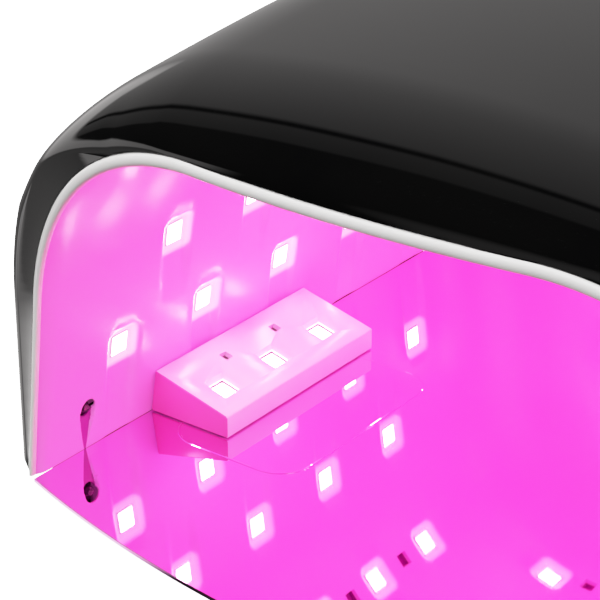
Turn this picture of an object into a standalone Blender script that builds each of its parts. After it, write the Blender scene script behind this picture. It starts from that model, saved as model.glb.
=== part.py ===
"""UV LED nail lamp: a glossy hood with a lit reflector cavity that stands on a slide-out mirror plate.

Metres, +Z up. The opening faces -Y, and the origin is at the middle of the footprint, on the
surface that the lamp stands on.
"""

import math

import bmesh
import bpy
from mathutils import Vector

# Driving dimensions.
HALF_WIDTH = 0.101
HALF_DEPTH = 0.1125
FRONT_BOW = 0.015
OPENING_HALF_WIDTH = 0.0943
OPENING_HEIGHT = 0.0905
CORNER_RADIUS = 0.052
WALL_LEAN = math.radians(8.5)
SHELL_HEIGHT_FRONT = 0.1055
SHELL_HEIGHT_TOP = 0.1100
SHELL_WALL = 0.002
LINER_WALL = 0.0018
GAP = 0.0003

# Levels, from the ground up.
FOOT_HEIGHT = 0.0019
PLATE_BOTTOM = FOOT_HEIGHT + GAP
PLATE_THICKNESS = 0.001
MIRROR_Z = PLATE_BOTTOM + PLATE_THICKNESS
HOOD_BOTTOM = MIRROR_Z + GAP

# Front face: an arc in plan, through the middle of the front and the two front corners.
BOW_RADIUS = (OPENING_HALF_WIDTH**2 + FRONT_BOW**2) / (2 * FRONT_BOW)
TRIM_PROUD = 0.0005
TRIM_DEPTH = 0.0022
FRONT_Y = TRIM_PROUD - HALF_DEPTH

# Shell form.
SHOULDER_RADIUS_FRONT = 0.0635
SHOULDER_RADIUS_CREST = 0.0525
CROWN_ANGLE_FRONT = math.radians(10)
CROWN_ANGLE_CREST = math.radians(6.5)
FOOT_CHAMFER = 0.0015
FASCIA_INSET_FOOT = 0.0028
FASCIA_INSET_SIDE = 0.0038
FASCIA_INSET_TOP = 0.0115
FASCIA_INSET_START = 0.7
FASCIA_EXTRA_DEPTH = 0.0225
FASCIA_DEPTH_START = 0.6
BACK_CORNER_RADIUS = 0.050
BACK_TOP_DROP = 0.032
BACK_SHOULDER_LOSS = 0.0235
CREST_Y = 0.010

# Liner form.
LINER_BACK_Y = 0.0905
LINER_BACK_RADIUS = 0.032

# Rim trim: a strip round the opening, a little wider along the top.
TRIM_WIDTH_FOOT = 0.0018
TRIM_WIDTH_TOP = 0.0027

# Lights: rows on the leaning walls (height above the mirror, first place, pitch, count), a row
# along each round corner, three rows on the ceiling and two rows on the back wall.
WALL_LED_ROWS = ((0.02295, -0.0695, 0.030, 5), (0.0456, -0.0533, 0.0293, 4))
SHOULDER_LED_TURN = math.radians(42.6)
SHOULDER_LED_START = -0.0374
SHOULDER_LED_PITCH = 0.0237
SHOULDER_LED_COUNT = 4
CEILING_LED_X = 0.050
CEILING_LED_START = -0.056
CEILING_LED_PITCH = 0.029
CEILING_LED_COUNT = 5
BACK_LED_ROWS = ((0.0228, (-0.0333, 0, 0.0333)), (0.044, (-0.050, -0.0167, 0.0167, 0.050)))
CHIP_SIZE = 0.005
CHIP_THICKNESS = 0.0014
WINDOW_SIZE = 0.0052
WINDOW_REACH = 0.004
CHIP_OFFSET = LINER_WALL + GAP
BOARD_OFFSET = CHIP_OFFSET + CHIP_THICKNESS + GAP
BOARD_THICKNESS = 0.0012
WALL_BOARD_TOP = 0.031

# Edges of the light boards, across and up from the first light: (low corner, high corner).
BOARD_EDGES = {
    "left_wall": ((-0.1275, -0.015), (0.0070, WALL_BOARD_TOP)),
    "right_wall": ((-0.0070, -0.015), (0.1275, WALL_BOARD_TOP)),
    "left_shoulder": ((-0.0791, -0.006), (0.008, 0.006)),
    "right_shoulder": ((-0.008, -0.006), (0.0791, 0.006)),
    "ceiling": ((-0.008, -0.010), (0.108, 0.126)),
    "back_wall": ((-0.0883, -0.011), (0.0217, 0.034)),
}

# Thumb light blocks: a low wedge against each wall, highest at the wall.
BLOCK_START_Y = -0.0574
BLOCK_LENGTH = 0.0575
BLOCK_INNER_X = 0.071
BLOCK_FRONT_HEIGHT = 0.0058
BLOCK_BACK_HEIGHT = 0.0112
BLOCK_WALL = 0.0013
BLOCK_FOOT_FLARE = 0.0008
BLOCK_LED_X = 0.0789
BLOCK_LED_START = 0.009
BLOCK_LED_PITCH = 0.0189
BLOCK_HOLE_X = 0.086
BLOCK_HOLE_SIZE = 0.0025
BLOCK_CHIP_THICKNESS = 0.001
BLOCK_BOARD_THICKNESS = 0.0008
BLOCK_BOARD_WIDTH = 0.0162
BLOCK_BOARD_MARGIN = 0.001

# Hand sensor: a beam across the front of the cavity.
SENSOR_Y = -0.0802
SENSOR_HEIGHT = 0.011
SENSOR_HOLE_RADIUS = 0.0024
SENSOR_INNER_X = 0.0954
SENSOR_OUTER_X = HALF_WIDTH - SHELL_WALL - GAP - 0.0001
SENSOR_LENGTH = 0.005
SENSOR_BODY_HEIGHT = 0.007

# Mirror plate and the frame whose rails it slides in.
PLATE_HALF_WIDTH = 0.0942
PLATE_CORNER_Y = 0.062
PLATE_CORNER_RADIUS = 0.032
FOOT_PLACES = ((-0.070, -0.075), (0.070, -0.075), (-0.060, 0.070), (0.060, 0.070))
FOOT_RADIUS = 0.008
FOOT_EDGE = 0.0005
RAIL_START_Y = -0.088
RAIL_END_Y = 0.058
RAIL_OVERLAP = 0.008
RAIL_OUTER_X = HALF_WIDTH - SHELL_WALL - GAP
RAIL_INNER_X = 0.09642
RAIL_LIP_X = 0.0915
RAIL_BOTTOM = 0.0008
RAIL_TOP = 0.0095
REAR_FRAME_TOP = 0.006
STOP_HALF_WIDTH = 0.015
STOP_DEPTH = 0.003
STOP_OVERLAP = 0.001
MAGNET_SIZE = (0.0017, 0.012, 0.004)
MAGNET_PLACES_Y = (-0.066, 0.036)
MAGNET_Z = 0.0062
MAGNET_WINDOW_DEPTH = 0.006

# Screws from below into bosses behind the liner: x, y, and how far back each boss's web reaches.
SCREW_PLACES = (
    (-0.062, 0.104, 0.1107),
    (-0.030, 0.1055, 0.1113),
    (0.030, 0.1055, 0.1113),
    (0.062, 0.104, 0.1107),
)
BOSS_RADIUS = 0.0032
BOSS_TOP = 0.024
BOSS_BORE = 0.0015
BOSS_ROOF = 0.004
SCREW_SHANK = 0.0012
SCREW_TIP_Z = 0.016
SCREW_HEAD = 0.0023
SCREW_HEAD_HEIGHT = 0.001
COUNTERBORE_RADIUS = 0.0028
COUNTERBORE_DEPTH = 0.0014

# Inlet socket and cooling slots in the shell's back.
JACK_WIDTH = 0.010
JACK_TOP = 0.0173
JACK_FRONT_Y = 0.098
JACK_BORE = 0.0031
JACK_PIN = 0.00105
JACK_PIN_LENGTH = 0.008
JACK_BORE_DEPTH = 0.010
VENT_HEIGHT = 0.0022
VENT_LENGTH = 0.028
VENT_CENTRE_X = 0.031
VENT_FIRST_Z = 0.034
VENT_PITCH = 0.005
VENT_COUNT = 5

# Control panel in the top, behind the part of the hood over the opening.
PANEL_WIDTH = 0.084
PANEL_DEPTH = 0.040
PANEL_CENTRE_Y = 0.040
PANEL_CORNER = 0.008
WINDOW_WIDTH = 0.030
WINDOW_DEPTH = 0.014
WINDOW_CENTRE_Y = 0.050
WINDOW_CORNER = 0.002
DISPLAY_MARGIN = 0.002
TOP_CUT_LOW = 0.09
TOP_CUT_HIGH = 0.13
BUTTON_Y = 0.030
BUTTON_PLACES_X = (-0.030, -0.010, 0.010, 0.030)
BUTTON_RADIUS = 0.0045
BUTTON_FLANGE_RADIUS = 0.0055
BUTTON_PROUD = 0.0008
BUTTON_STEM_RADIUS = 0.0015
BUTTON_FLANGE = 0.001
BUTTON_EDGE = 0.0005
SWITCH_HEIGHT = 0.0028
SWITCH_PLUNGER_TOP = 0.0036
BUTTON_CLEARANCE = 0.0006
CONTROL_BOARD_Z = 0.1006
CONTROL_BOARD_THICKNESS = 0.0016
CONTROL_BOARD_HALF_WIDTH = 0.042
CONTROL_BOARD_Y = (0.018, 0.064)
POST_PLACES = ((-0.037, 0.023), (0.037, 0.023), (-0.037, 0.059), (0.037, 0.059))
POST_RADIUS = 0.0025
POST_BORE = 0.0014
WIRE_RADIUS = 0.0011
WIRE_Y = 0.049

PROFILE_LEG_STEPS = 3
PROFILE_ARC_STEPS = 9
PROFILE_TOP_STEPS = 4
SHARP_ANGLE = math.radians(30)


def principled(name, colour, roughness, metallic=0.0):
    """A material with the piece's plain colour, as linear red, green and blue."""
    material = bpy.data.materials.new(name)
    material.use_nodes = True
    shader = material.node_tree.nodes["Principled BSDF"]
    shader.inputs["Base Color"].default_value = (*colour, 1)
    shader.inputs["Roughness"].default_value = roughness
    shader.inputs["Metallic"].default_value = metallic
    return material


def add_object(name, points, faces, material):
    """A mesh object of these points and faces, with its faces turned outward."""
    mesh = bpy.data.meshes.new(name)
    mesh.from_pydata([tuple(point) for point in points], [], faces)
    shape = bmesh.new()
    shape.from_mesh(mesh)
    bmesh.ops.recalc_face_normals(shape, faces=shape.faces)
    shape.to_mesh(mesh)
    shape.free()
    mesh.shade_smooth()
    mesh.set_sharp_from_angle(angle=SHARP_ANGLE)
    mesh.materials.append(material)
    thing = bpy.data.objects.new(name, mesh)
    bpy.context.scene.collection.objects.link(thing)
    return thing


def bow(x):
    """How far the front face lies behind its middle, at this distance from the middle."""
    return BOW_RADIUS - math.sqrt(BOW_RADIUS**2 - x * x)


def front_y(x):
    return FRONT_Y + bow(x)


def mirrored(left_half, middle):
    """A profile from its left half and its middle points: (x, z, normal x, normal z)."""
    right_half = [(-x, z, -nx, nz) for x, z, nx, nz in reversed(left_half)]
    return left_half + middle + right_half


def corner_centre():
    """The centre (x, z) of the opening's right-hand round corner."""
    z = MIRROR_Z + OPENING_HEIGHT - CORNER_RADIUS
    leg_rise = z + CORNER_RADIUS * math.sin(WALL_LEAN) - HOOD_BOTTOM
    x = OPENING_HALF_WIDTH - leg_rise * math.tan(WALL_LEAN) - CORNER_RADIUS * math.cos(WALL_LEAN)
    return x, z


def opening_profile():
    """The cavity's cross-section from the left foot over the top to the right foot.

    Legs that lean inward run into round corners and a flat top. Each point carries the direction
    in which an outward offset moves it.
    """
    centre_x, centre_z = corner_centre()
    cos_lean, sin_lean = math.cos(WALL_LEAN), math.sin(WALL_LEAN)
    leg_rise = centre_z + CORNER_RADIUS * sin_lean - HOOD_BOTTOM
    left = []
    for step in range(PROFILE_LEG_STEPS):
        share = step / PROFILE_LEG_STEPS
        z = HOOD_BOTTOM + leg_rise * share
        x = -OPENING_HALF_WIDTH + leg_rise * share * math.tan(WALL_LEAN)
        direction = (-1 / cos_lean, 0) if step == 0 else (-cos_lean, sin_lean)
        left.append((x, z, *direction))
    for step in range(PROFILE_ARC_STEPS + 1):
        turn = WALL_LEAN + (math.pi / 2 - WALL_LEAN) * step / PROFILE_ARC_STEPS
        nx, nz = -math.cos(turn), math.sin(turn)
        left.append((-centre_x + CORNER_RADIUS * nx, centre_z + CORNER_RADIUS * nz, nx, nz))
    flat = left[-1][0]
    top_z = left[-1][1]
    middle = [
        (flat * (1 - 2 * step / PROFILE_TOP_STEPS), top_z, 0, 1) for step in range(1, PROFILE_TOP_STEPS)
    ]
    return mirrored(left, middle)


def shell_profile(half_width, height, shoulder, crown_angle, chamfer):
    """The shell's cross-section at one station, point for point like opening_profile."""
    top_z = MIRROR_Z + height
    crown_start = half_width - shoulder + shoulder * math.sin(crown_angle)
    crown_radius = crown_start / math.sin(crown_angle)
    crown_rise = crown_radius * (1 - math.cos(crown_angle))
    leg_top = top_z - crown_rise - shoulder * math.cos(crown_angle)
    left = [(-half_width + chamfer, HOOD_BOTTOM, -1, 0)]
    low = HOOD_BOTTOM + FOOT_CHAMFER
    for step in range(PROFILE_LEG_STEPS - 1):
        z = low + (leg_top - low) * step / (PROFILE_LEG_STEPS - 1)
        left.append((-half_width, z, -1, 0))
    for step in range(PROFILE_ARC_STEPS + 1):
        turn = (math.pi / 2 - crown_angle) * step / PROFILE_ARC_STEPS
        nx, nz = -math.cos(turn), math.sin(turn)
        left.append((-half_width + shoulder + shoulder * nx, leg_top + shoulder * nz, nx, nz))
    middle = []
    for step in range(1, PROFILE_TOP_STEPS):
        turn = crown_angle * (1 - 2 * step / PROFILE_TOP_STEPS)
        nx, nz = -math.sin(turn), math.cos(turn)
        middle.append((crown_radius * nx, top_z - crown_radius * (1 - nz), nx, nz))
    return mirrored(left, middle)


def offset(profile, distance):
    """The (x, z) points of a profile, moved outward by one distance or by one for each point."""
    distances = distance if isinstance(distance, list) else [distance] * len(profile)
    return [(x + nx * d, z + nz * d) for (x, z, nx, nz), d in zip(profile, distances)]


def by_height(profile, at_foot, at_top):
    """One value for each point of a profile, blended from its foot to its top."""
    low = profile[0][1]
    high = max(z for x, z, nx, nz in profile)
    return [at_foot + (at_top - at_foot) * (z - low) / (high - low) for x, z, nx, nz in profile]


def walled_solid(name, outer_rows, inner_rows, material):
    """A wall between two skins. Each skin is a list of rows from front to back, each row runs from
    foot to foot, and the last row is closed by a flat back."""
    width = len(outer_rows[0])
    rows = len(outer_rows)
    points = [point for row in outer_rows + inner_rows for point in row]
    inner_start = rows * width
    faces = []
    for row in range(rows - 1):
        for column in range(width - 1):
            a = row * width + column
            quad = [a, a + 1, a + width + 1, a + width]
            faces.append(quad)
            faces.append([inner_start + index for index in reversed(quad)])
        for column in (0, width - 1):
            a = row * width + column
            faces.append([a, a + width, inner_start + a + width, inner_start + a])
    for column in range(width - 1):
        faces.append([column + 1, column, inner_start + column, inner_start + column + 1])
    last = (rows - 1) * width
    faces.append([last + column for column in range(width)])
    faces.append([inner_start + last + column for column in reversed(range(width))])
    faces.append([last, last + width - 1, inner_start + last + width - 1, inner_start + last])
    return add_object(name, points, faces, material)


def swept_bar(name, loops, material):
    """A bar whose section changes along its run: a list of closed loops of equal length."""
    count = len(loops[0])
    points = [point for loop in loops for point in loop]
    faces = [list(range(count))]
    for ring in range(len(loops) - 1):
        for index in range(count):
            following = (index + 1) % count
            a, b = ring * count + index, ring * count + following
            faces.append([a, b, b + count, a + count])
    faces.append([(len(loops) - 1) * count + index for index in range(count)])
    return add_object(name, points, faces, material)


def back_inset(depth, radius):
    """How far a round corner of this radius has come in, this far past its start."""
    return radius - math.sqrt(max(radius**2 - depth**2, 0))


def shell_section(y, inward):
    """The shell's cross-section at this station: low round shoulders in front, fuller at the crest."""
    share = min(max((CREST_Y - y) / (CREST_Y - FRONT_Y), 0), 1) ** 1.5

    def blend(at_crest, at_front):
        return at_crest + (at_front - at_crest) * share

    return shell_profile(
        HALF_WIDTH - inward,
        blend(SHELL_HEIGHT_TOP, SHELL_HEIGHT_FRONT) - inward,
        blend(SHOULDER_RADIUS_CREST, SHOULDER_RADIUS_FRONT) - inward,
        blend(CROWN_ANGLE_CREST, CROWN_ANGLE_FRONT),
        0 if inward else FOOT_CHAMFER,
    )


def fascia(share):
    """How far the shell draws in round the opening, and how deep, at a share of its height."""
    rise = max(share - FASCIA_INSET_START, 0) / (1 - FASCIA_INSET_START)
    inset = FASCIA_INSET_FOOT + (FASCIA_INSET_SIDE - FASCIA_INSET_FOOT) * share
    inset += (FASCIA_INSET_TOP - FASCIA_INSET_SIDE) * rise * rise * (3 - 2 * rise)
    extra = FASCIA_EXTRA_DEPTH * max(share - FASCIA_DEPTH_START, 0) / (1 - FASCIA_DEPTH_START)
    return inset, inset + extra


def shell_skin(inward):
    """The rows of the shell's outer skin, or of its inner skin when inward is the wall."""
    body_steps, fascia_steps, back_steps = 5, 6, 7
    opening = opening_profile()
    lip = offset(opening, by_height(opening, TRIM_WIDTH_FOOT + GAP, TRIM_WIDTH_TOP + GAP))
    profile = shell_section(FRONT_Y, inward)
    sizes = []
    for (x, z, nx, nz), (lip_x, lip_z), share in zip(profile, lip, by_height(profile, 0, 1)):
        inset, depth = fascia(share)
        room = (x - lip_x) * nx + (z - lip_z) * nz + inward - GAP
        sizes.append((min(inset, room), depth))
    rows = [[(x, front_y(x) + inward, z) for x, z in lip]]
    for step in range(fascia_steps + 1):
        turn = math.pi / 2 * step / fascia_steps
        row = []
        for index, (inset, depth) in enumerate(sizes):
            y = front_y(profile[index][0]) + inward + (depth - inward) * (1 - math.cos(turn))
            x, z, nx, nz = shell_section(y, inward)[index]
            loss = (inset - inward) * (1 - math.sin(turn))
            row.append((x - nx * loss, y, max(z - nz * loss, HOOD_BOTTOM)))
        rows.append(row)
    corner_start = HALF_DEPTH - BACK_CORNER_RADIUS
    front_row = rows[-1]
    for step in range(1, body_steps + 1):
        row = []
        for index, (start_x, start_y, start_z) in enumerate(front_row):
            y = start_y + (corner_start - start_y) * step / body_steps
            x, z, nx, nz = shell_section(y, inward)[index]
            row.append((x, y, z))
        rows.append(row)
    for step in range(1, back_steps + 1):
        turn = math.pi / 2 * step / back_steps
        loss = 1 - math.cos(turn)
        shape = offset(
            shell_profile(
                HALF_WIDTH - BACK_CORNER_RADIUS * loss - inward * math.cos(turn),
                SHELL_HEIGHT_TOP - BACK_TOP_DROP * loss - inward * math.cos(turn),
                SHOULDER_RADIUS_CREST - BACK_SHOULDER_LOSS * loss - inward * math.cos(turn),
                CROWN_ANGLE_CREST,
                0 if inward else FOOT_CHAMFER,
            ),
            0,
        )
        y = corner_start + (BACK_CORNER_RADIUS - inward) * math.sin(turn)
        rows.append([(x, y, z) for x, z in shape])
    return rows


def liner_skin(outward):
    """The rows of the liner's inner skin, or of its outer skin when outward is the wall."""
    back_steps = 6
    profile = opening_profile()
    shape = offset(profile, outward)
    rows = [[(x, front_y(x) + TRIM_DEPTH + GAP, z) for x, z in shape]]
    corner_start = LINER_BACK_Y - LINER_BACK_RADIUS
    radius = LINER_BACK_RADIUS + outward
    for step in range(back_steps + 1):
        depth = radius * math.sin(math.pi / 2 * step / back_steps)
        shape = offset(profile, outward - back_inset(depth, radius))
        rows.append([(x, corner_start + depth, z) for x, z in shape])
    return rows


def box_points(centre, size, axes):
    """The corners of a box whose edges run along three axes."""
    corners = [(a, b, c) for c in (-1, 1) for a, b in ((-1, -1), (1, -1), (1, 1), (-1, 1))]
    points = []
    for signs in corners:
        point = Vector(centre)
        for axis, sign, length in zip(axes, signs, size):
            point += axis * (sign * length / 2)
        points.append(point)
    return points


BOX_FACES = [(0, 3, 2, 1), (4, 5, 6, 7), (0, 1, 5, 4), (1, 2, 6, 5), (2, 3, 7, 6), (3, 0, 4, 7)]
WORLD_AXES = (Vector((1, 0, 0)), Vector((0, 1, 0)), Vector((0, 0, 1)))


def boxes(name, items, material):
    """One object of separate boxes, each given as (centre, size, axes)."""
    points, faces = [], []
    for centre, size, axes in items:
        start = len(points)
        points += box_points(centre, size, axes)
        faces += [[start + index for index in face] for face in BOX_FACES]
    return add_object(name, points, faces, material)


def box_between(name, low, high, material):
    centre = [(a + b) / 2 for a, b in zip(low, high)]
    size = [b - a for a, b in zip(low, high)]
    return boxes(name, [(centre, size, WORLD_AXES)], material)


def prism(name, outline, low, high, material, axis=2):
    """An outline extruded from low to high along Z, or along Y when axis is 1."""

    def place(a, b, level):
        return (a, b, level) if axis == 2 else (a, level, b)

    count = len(outline)
    points = [place(a, b, low) for a, b in outline] + [place(a, b, high) for a, b in outline]
    faces = [list(range(count)), [count + index for index in reversed(range(count))]]
    for index in range(count):
        following = (index + 1) % count
        faces.append([index, following, count + following, count + index])
    return add_object(name, points, faces, material)


def turned(name, items, material, segments=20):
    """One object of separate turned solids, each given as (base, axis, [(radius, distance), ...])."""
    points, faces = [], []
    for base, axis, profile in items:
        axis = Vector(axis).normalized()
        side = axis.orthogonal().normalized()
        other = axis.cross(side)
        start = len(points)
        for radius, distance in profile:
            for segment in range(segments):
                turn = 2 * math.pi * segment / segments
                spoke = side * math.cos(turn) + other * math.sin(turn)
                points.append(Vector(base) + axis * distance + spoke * radius)
        rings = len(profile)
        for ring in range(rings - 1):
            for segment in range(segments):
                a = start + ring * segments + segment
                b = start + ring * segments + (segment + 1) % segments
                faces.append([a, b, b + segments, a + segments])
        faces.append([start + segment for segment in range(segments)])
        faces.append([start + (rings - 1) * segments + segment for segment in range(segments)])
    return add_object(name, points, faces, material)


def tubes(name, items, material, segments=16):
    """One object of separate tubes, each given as (base, axis, outer radius, bore radius, length)."""
    points, faces = [], []
    for base, axis, outer, inner, length in items:
        axis = Vector(axis).normalized()
        side = axis.orthogonal().normalized()
        other = axis.cross(side)
        start = len(points)
        for radius, distance in ((outer, 0), (outer, length), (inner, length), (inner, 0)):
            for segment in range(segments):
                turn = 2 * math.pi * segment / segments
                spoke = side * math.cos(turn) + other * math.sin(turn)
                points.append(Vector(base) + axis * distance + spoke * radius)
        for ring in range(4):
            for segment in range(segments):
                following = (segment + 1) % segments
                a, b = start + ring * segments + segment, start + ring * segments + following
                c, d = (start + (ring + 1) % 4 * segments + index for index in (segment, following))
                faces.append([a, b, d, c])
    return add_object(name, points, faces, material)


def wire(name, route, material):
    """A round wire along this route."""
    curve = bpy.data.curves.new(name, "CURVE")
    curve.dimensions = "3D"
    curve.bevel_depth = WIRE_RADIUS
    curve.bevel_resolution = 2
    curve.use_fill_caps = True
    spline = curve.splines.new("POLY")
    spline.points.add(len(route) - 1)
    for point, place in zip(spline.points, route):
        point.co = (*place, 1)
    curve.materials.append(material)
    thing = bpy.data.objects.new(name, curve)
    bpy.context.scene.collection.objects.link(thing)
    return thing


def combine(thing, other, operation):
    """Cuts the other object from this one, or joins it on, and keeps the other only as a guide."""
    other.hide_render = True
    other.display_type = "WIRE"
    modifier = thing.modifiers.new(other.name, "BOOLEAN")
    modifier.operation = operation
    modifier.object = other
    modifier.solver = "EXACT"


def rounded_rectangle(width, depth, radius, centre_y, steps=4):
    """The outline of a rectangle with round corners, anticlockwise."""
    outline = []
    for quarter in range(4):
        sign_x = 1 if quarter in (0, 3) else -1
        sign_y = 1 if quarter in (0, 1) else -1
        for step in range(steps + 1):
            turn = math.pi / 2 * (quarter + step / steps)
            outline.append(
                (
                    sign_x * (width / 2 - radius) + radius * math.cos(turn),
                    centre_y + sign_y * (depth / 2 - radius) + radius * math.sin(turn),
                )
            )
    return outline


def smooth_path(points, steps=4):
    """Points along a Catmull-Rom curve through these points."""
    ends = [points[0]] + points + [points[-1]]
    path = []
    for a, b, c, d in zip(ends, ends[1:], ends[2:], ends[3:]):
        a, b, c, d = (Vector(point) for point in (a, b, c, d))
        for step in range(steps):
            t = step / steps
            bend = (2 * a - 5 * b + 4 * c - d) * t**2 + (3 * b - a - 3 * c + d) * t**3
            path.append(0.5 * (2 * b + (c - a) * t + bend))
    return path + [Vector(points[-1])]


def led_sites():
    """Where each light sits on the liner's inner face: lists of (point, outward direction, up)."""
    centre_x, centre_z = corner_centre()
    cos_lean, sin_lean = math.cos(WALL_LEAN), math.sin(WALL_LEAN)
    sites = {"ceiling": [], "back_wall": []}
    for side, sign in (("left", -1), ("right", 1)):
        leg_out = Vector((sign * cos_lean, 0, sin_lean))
        leg_up = Vector((-sign * sin_lean, 0, cos_lean))
        wall = []
        for height, first_y, pitch, count in WALL_LED_ROWS:
            z = MIRROR_Z + height
            x = sign * (OPENING_HALF_WIDTH - (z - HOOD_BOTTOM) * math.tan(WALL_LEAN))
            wall += [
                (Vector((x, first_y + pitch * step, z)), leg_out, leg_up)
                for step in range(count)
            ]
        sites[side + "_wall"] = wall
        out = Vector((sign * math.cos(SHOULDER_LED_TURN), 0, math.sin(SHOULDER_LED_TURN)))
        up = Vector((-out.z * sign, 0, abs(out.x)))
        foot = Vector((sign * centre_x, 0, centre_z)) + out * CORNER_RADIUS
        sites[side + "_shoulder"] = [
            (foot + Vector((0, SHOULDER_LED_START + SHOULDER_LED_PITCH * step, 0)), out, up)
            for step in range(SHOULDER_LED_COUNT)
        ]
    top_z = MIRROR_Z + OPENING_HEIGHT
    for x in (-CEILING_LED_X, 0, CEILING_LED_X):
        for step in range(CEILING_LED_COUNT):
            y = CEILING_LED_START + CEILING_LED_PITCH * step
            sites["ceiling"].append((Vector((x, y, top_z)), WORLD_AXES[2], WORLD_AXES[1]))
    for height, places in BACK_LED_ROWS:
        for x in places:
            place = Vector((x, LINER_BACK_Y, MIRROR_Z + height))
            sites["back_wall"].append((place, WORLD_AXES[1], WORLD_AXES[2]))
    return sites


def plate_at(site, distance, thickness, width, height):
    """A box parallel to the wall at a site, its near face this far outside the liner's inner face."""
    point, out, up = site
    return point + out * (distance + thickness / 2), (width, height, thickness), (up.cross(out), up, out)


def board_on(name, sites, low, high, material):
    """A flat circuit board with its lights soldered on: low and high are its edges along the wall,
    measured across and up from the first site."""
    point, out, up = sites[0]
    across = up.cross(out)
    centre = point + across * ((low[0] + high[0]) / 2) + up * ((low[1] + high[1]) / 2)
    size = (high[0] - low[0], high[1] - low[1])
    board = boxes(name, [plate_at((centre, out, up), BOARD_OFFSET, BOARD_THICKNESS, *size)], material)
    seated = BOARD_OFFSET + BOARD_THICKNESS / 2 - CHIP_OFFSET
    chips = [plate_at(site, CHIP_OFFSET, seated, CHIP_SIZE, CHIP_SIZE) for site in sites]
    combine(board, boxes(name + "_chips_guide", chips, material), "UNION")
    return board


def corner_arc(centre_x, centre_y, radius, steps=6):
    """A quarter circle in plan, from the right-hand side round to the back."""
    return [
        (
            centre_x + radius * math.cos(math.pi / 2 * step / steps),
            centre_y + radius * math.sin(math.pi / 2 * step / steps),
        )
        for step in range(steps + 1)
    ]


def both_sides(right):
    """An outline from its right half, which runs from the front to the back."""
    return right + [(-x, y) for x, y in reversed(right)]


def outer_shell(material):
    """The hood's shell with its screw bosses, vent slots, inlet mouth and panel opening."""
    shell = walled_solid("outer_shell", shell_skin(0), shell_skin(SHELL_WALL), material)
    bosses, webs = [], []
    low = REAR_FRAME_TOP + GAP
    for x, y, back in SCREW_PLACES:
        bosses.append(((x, y, low), WORLD_AXES[2], [(BOSS_RADIUS, 0), (BOSS_RADIUS, BOSS_TOP - low)]))
        centre = (x, (y + back) / 2, (low + BOSS_TOP) / 2)
        webs.append((centre, (SHELL_WALL, back - y, BOSS_TOP - low - 2 * GAP), WORLD_AXES))
    combine(shell, turned("boss_guide", bosses, material, 12), "UNION")
    combine(shell, boxes("web_guide", webs, material), "UNION")
    bore = [(BOSS_BORE, 0), (BOSS_BORE, BOSS_TOP - BOSS_ROOF)]
    bores = [((x, y, 0), WORLD_AXES[2], bore) for x, y, back in SCREW_PLACES]
    combine(shell, turned("bore_cutter", bores, material, 12), "DIFFERENCE")
    through = 4 * SHELL_WALL
    slots = []
    for side in (-1, 1):
        for step in range(VENT_COUNT):
            centre = (side * VENT_CENTRE_X, HALF_DEPTH, VENT_FIRST_Z + VENT_PITCH * step)
            slots.append((centre, (VENT_LENGTH, through, VENT_HEIGHT), WORLD_AXES))
    mouth_z = (REAR_FRAME_TOP + JACK_TOP + GAP) / 2
    mouth_size = (JACK_WIDTH + 2 * GAP, through, JACK_TOP - REAR_FRAME_TOP + GAP)
    slots.append(((0, HALF_DEPTH, mouth_z), mouth_size, WORLD_AXES))
    combine(shell, boxes("slot_cutter", slots, material), "DIFFERENCE")
    outline = rounded_rectangle(PANEL_WIDTH, PANEL_DEPTH, PANEL_CORNER, PANEL_CENTRE_Y)
    combine(shell, prism("panel_cutter", outline, TOP_CUT_LOW, TOP_CUT_HIGH, material), "DIFFERENCE")
    return shell


def panel_plug(name, width, depth, radius, centre_y, material):
    """A piece that fills an opening in the shell's top, flush with both of its skins."""
    outline = rounded_rectangle(width, depth, radius, centre_y)
    plug = prism(name, outline, TOP_CUT_LOW, TOP_CUT_HIGH, material)
    skins = walled_solid(name + "_guide", shell_skin(0), shell_skin(SHELL_WALL), material)
    combine(plug, skins, "INTERSECT")
    return plug


def top_surface_z(x):
    """Height of the shell's outer skin behind its crest."""
    crown_start = HALF_WIDTH - SHOULDER_RADIUS_CREST * (1 - math.sin(CROWN_ANGLE_CREST))
    radius = crown_start / math.sin(CROWN_ANGLE_CREST)
    return MIRROR_Z + SHELL_HEIGHT_TOP - radius + math.sqrt(radius**2 - x * x)


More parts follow.
